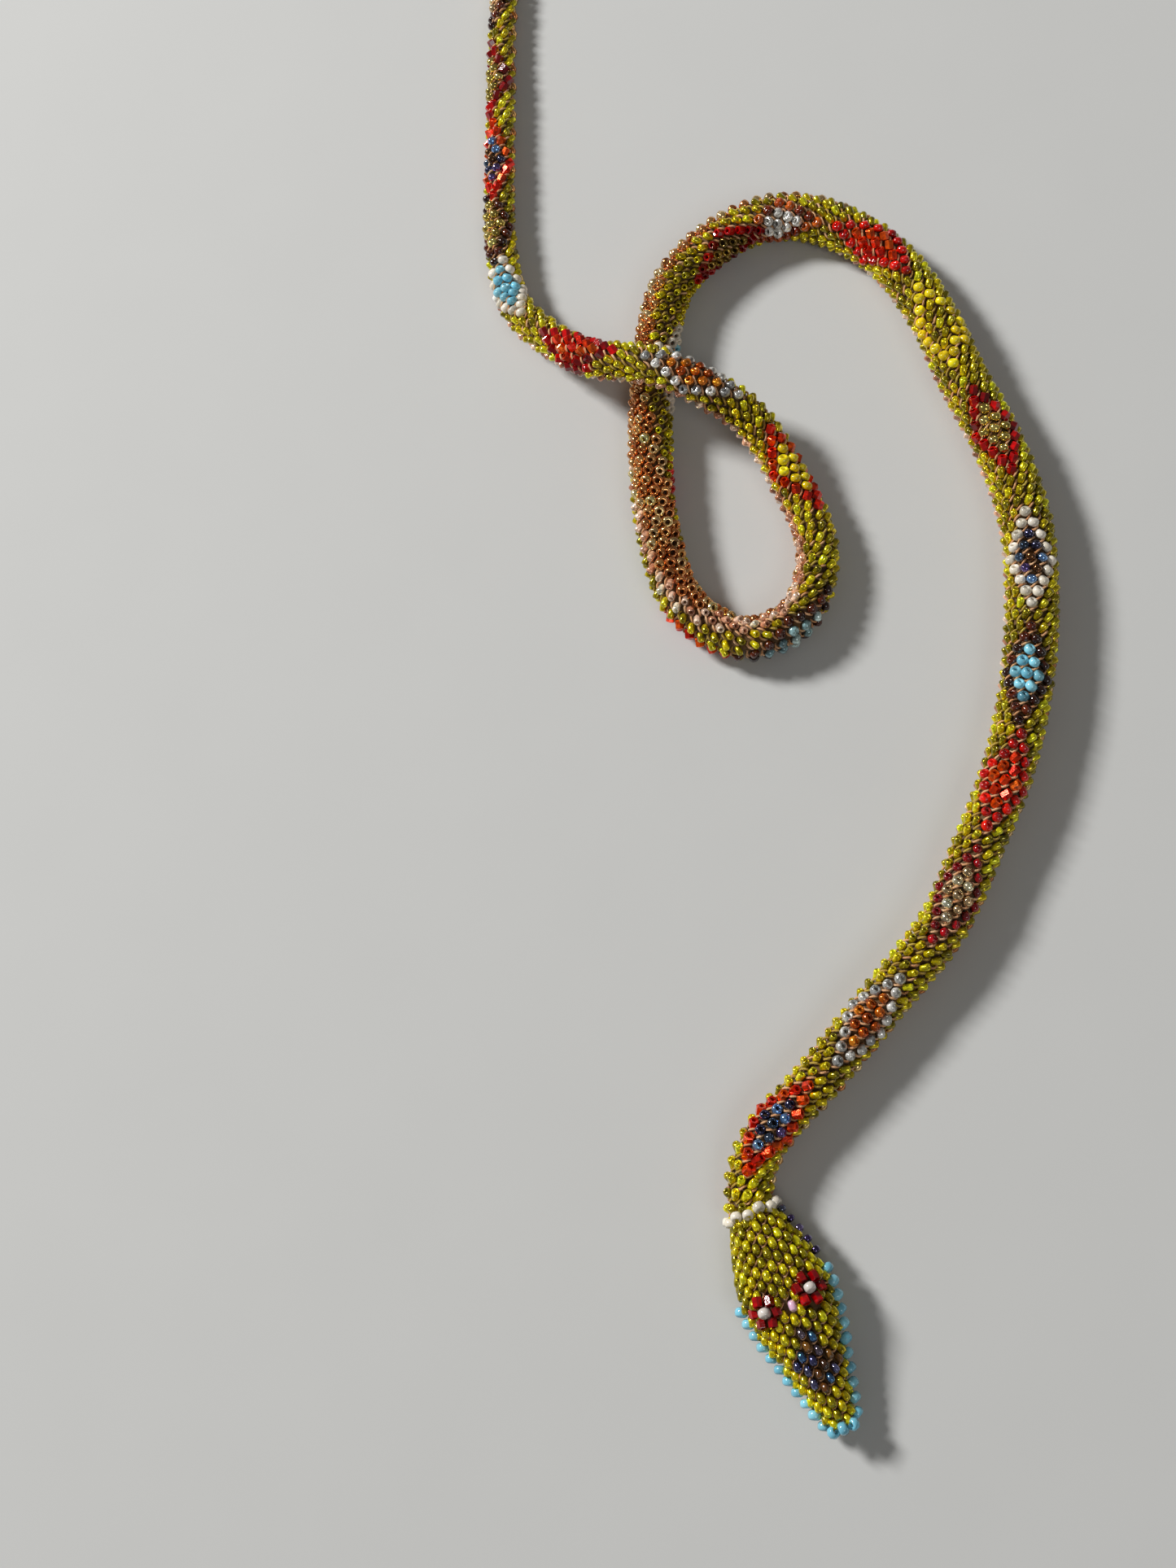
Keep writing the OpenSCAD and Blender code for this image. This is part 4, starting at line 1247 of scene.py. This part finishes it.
class SNAKE_OT_plain_parts(bpy.types.Operator):
    """Gives the frame's own parts that stay, the cord and the tail's end, their finish"""

    bl_idname = "snake.plain_parts"
    bl_label = "Cord and tail end"

    def execute(self, context):
        colours = context.scene.snake_colours
        gold, tree, shader = new_material("tip_bead_glass")
        feed(tree, shader, {
            "Base Color": two_tone(tree, (0.62, 0.45, 0.16), (0.84, 0.68, 0.32), scale=500),
            "Metallic": 0.95,
            "Roughness": spread(tree, object_noise(tree, scale=900), low=0.15, high=0.3),
        })
        for name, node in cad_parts.items():
            if node.hide_render:
                continue
            node.data.materials.clear()
            if name.endswith("_cord"):
                node.data.materials.append(cord_cotton(colours))
            elif name == "tail_tip_bead":
                node.data.materials.append(gold)
            else:
                # Other parts take the core's cotton, darkened with painted shade
                node.data.materials.append(core_cotton_in_painted_shade(colours))
        return {"FINISHED"}


# ---------------------------------------------------------------- the stage
def aimed(place, target):
    """A matrix at place whose -Z looks at target."""
    z = unit(np.array(place, float) - np.array(target, float))
    x = unit(np.cross([0, 0, 1], z))
    y = np.cross(z, x)
    return Matrix([[*row, p] for row, p in zip(np.stack([x, y, z], 1), place)] + [[0, 0, 0, 1]])


def put_on_stage(name, data, matrix):
    """A lamp or a camera in its place."""
    thing = bpy.data.objects.new(name, data)
    bpy.context.scene.collection.objects.link(thing)
    thing.matrix_world = matrix
    return thing


class SNAKE_OT_stage(bpy.types.Operator):
    """Sets the pale floor, the soft studio light and the camera"""

    bl_idname = "snake.stage"
    bl_label = "Stage"

    def execute(self, context):
        scene = context.scene
        bpy.ops.mesh.primitive_plane_add(size=6, location=(0, 0, -FLOOR_BELOW))
        floor = context.active_object
        floor.name = "floor"
        pale = scene.snake_colours.floor
        material, tree, shader = new_material("pale_floor")
        feed(tree, shader, {
            "Base Color": two_tone(tree, [c * 0.985 for c in pale], pale, scale=40),
            "Roughness": 0.9,
        })
        floor.data.materials.append(material)
        for name, place, size, power in LAMPS:
            lamp = bpy.data.lights.new(name, "AREA")
            lamp.size = size
            lamp.energy = power
            put_on_stage(name, lamp, aimed(place, LAMPS_LOOK_AT))
        scene.world = bpy.data.worlds.new("studio")
        scene.world.use_nodes = True
        feed(scene.world.node_tree, scene.world.node_tree.nodes["Background"],
             {"Color": (1.0, 0.98, 0.95, 1), "Strength": 0.12})
        scene.view_settings.view_transform = "Standard"
        camera = bpy.data.cameras.new("camera")
        camera.sensor_fit = "VERTICAL"
        camera.sensor_height = 36
        camera.lens = CAMERA_LENS
        camera.clip_start = 0.01
        camera.clip_end = 20
        scene.camera = put_on_stage("camera", camera, Matrix(CAMERA))
        return {"FINISHED"}


STEPS = (
    SNAKE_OT_rope_beads, SNAKE_OT_rope_thread, SNAKE_OT_thread_core, SNAKE_OT_neck_cord,
    SNAKE_OT_head_cushion, SNAKE_OT_head_skin_beads, SNAKE_OT_head_edge_beads,
    SNAKE_OT_head_face, SNAKE_OT_collar, SNAKE_OT_plain_parts, SNAKE_OT_stage,
)
GROUPS = {"snake_rope": SnakeRopeSizes, "snake_head": SnakeHeadSizes, "snake_colours": SnakeColours}


class SNAKE_PT_beads(bpy.types.Panel):
    """Lists the snake's pieces and sizes"""

    bl_idname = "SNAKE_PT_beads"
    bl_label = "Bead crochet snake"
    bl_space_type = "VIEW_3D"
    bl_region_type = "UI"
    bl_category = "Beads"

    def draw(self, context):
        column = self.layout.column()
        for step in STEPS:
            column.operator(step.bl_idname)
        for name, group in GROUPS.items():
            box = column.box()
            for label in group.__annotations__:
                box.prop(getattr(context.scene, name), label)


CLASSES = (*GROUPS.values(), *STEPS, SNAKE_PT_beads)


def register():
    for one in CLASSES:
        bpy.utils.register_class(one)
    for name, group in GROUPS.items():
        setattr(bpy.types.Scene, name, bpy.props.PointerProperty(type=group))


def unregister():
    for name in GROUPS:
        delattr(bpy.types.Scene, name)
    for one in reversed(CLASSES):
        bpy.utils.unregister_class(one)


def main():
    register()
    for step in STEPS:
        group, name = step.bl_idname.split(".")
        getattr(getattr(bpy.ops, group), name)()


if __name__ == "__main__":
    main()
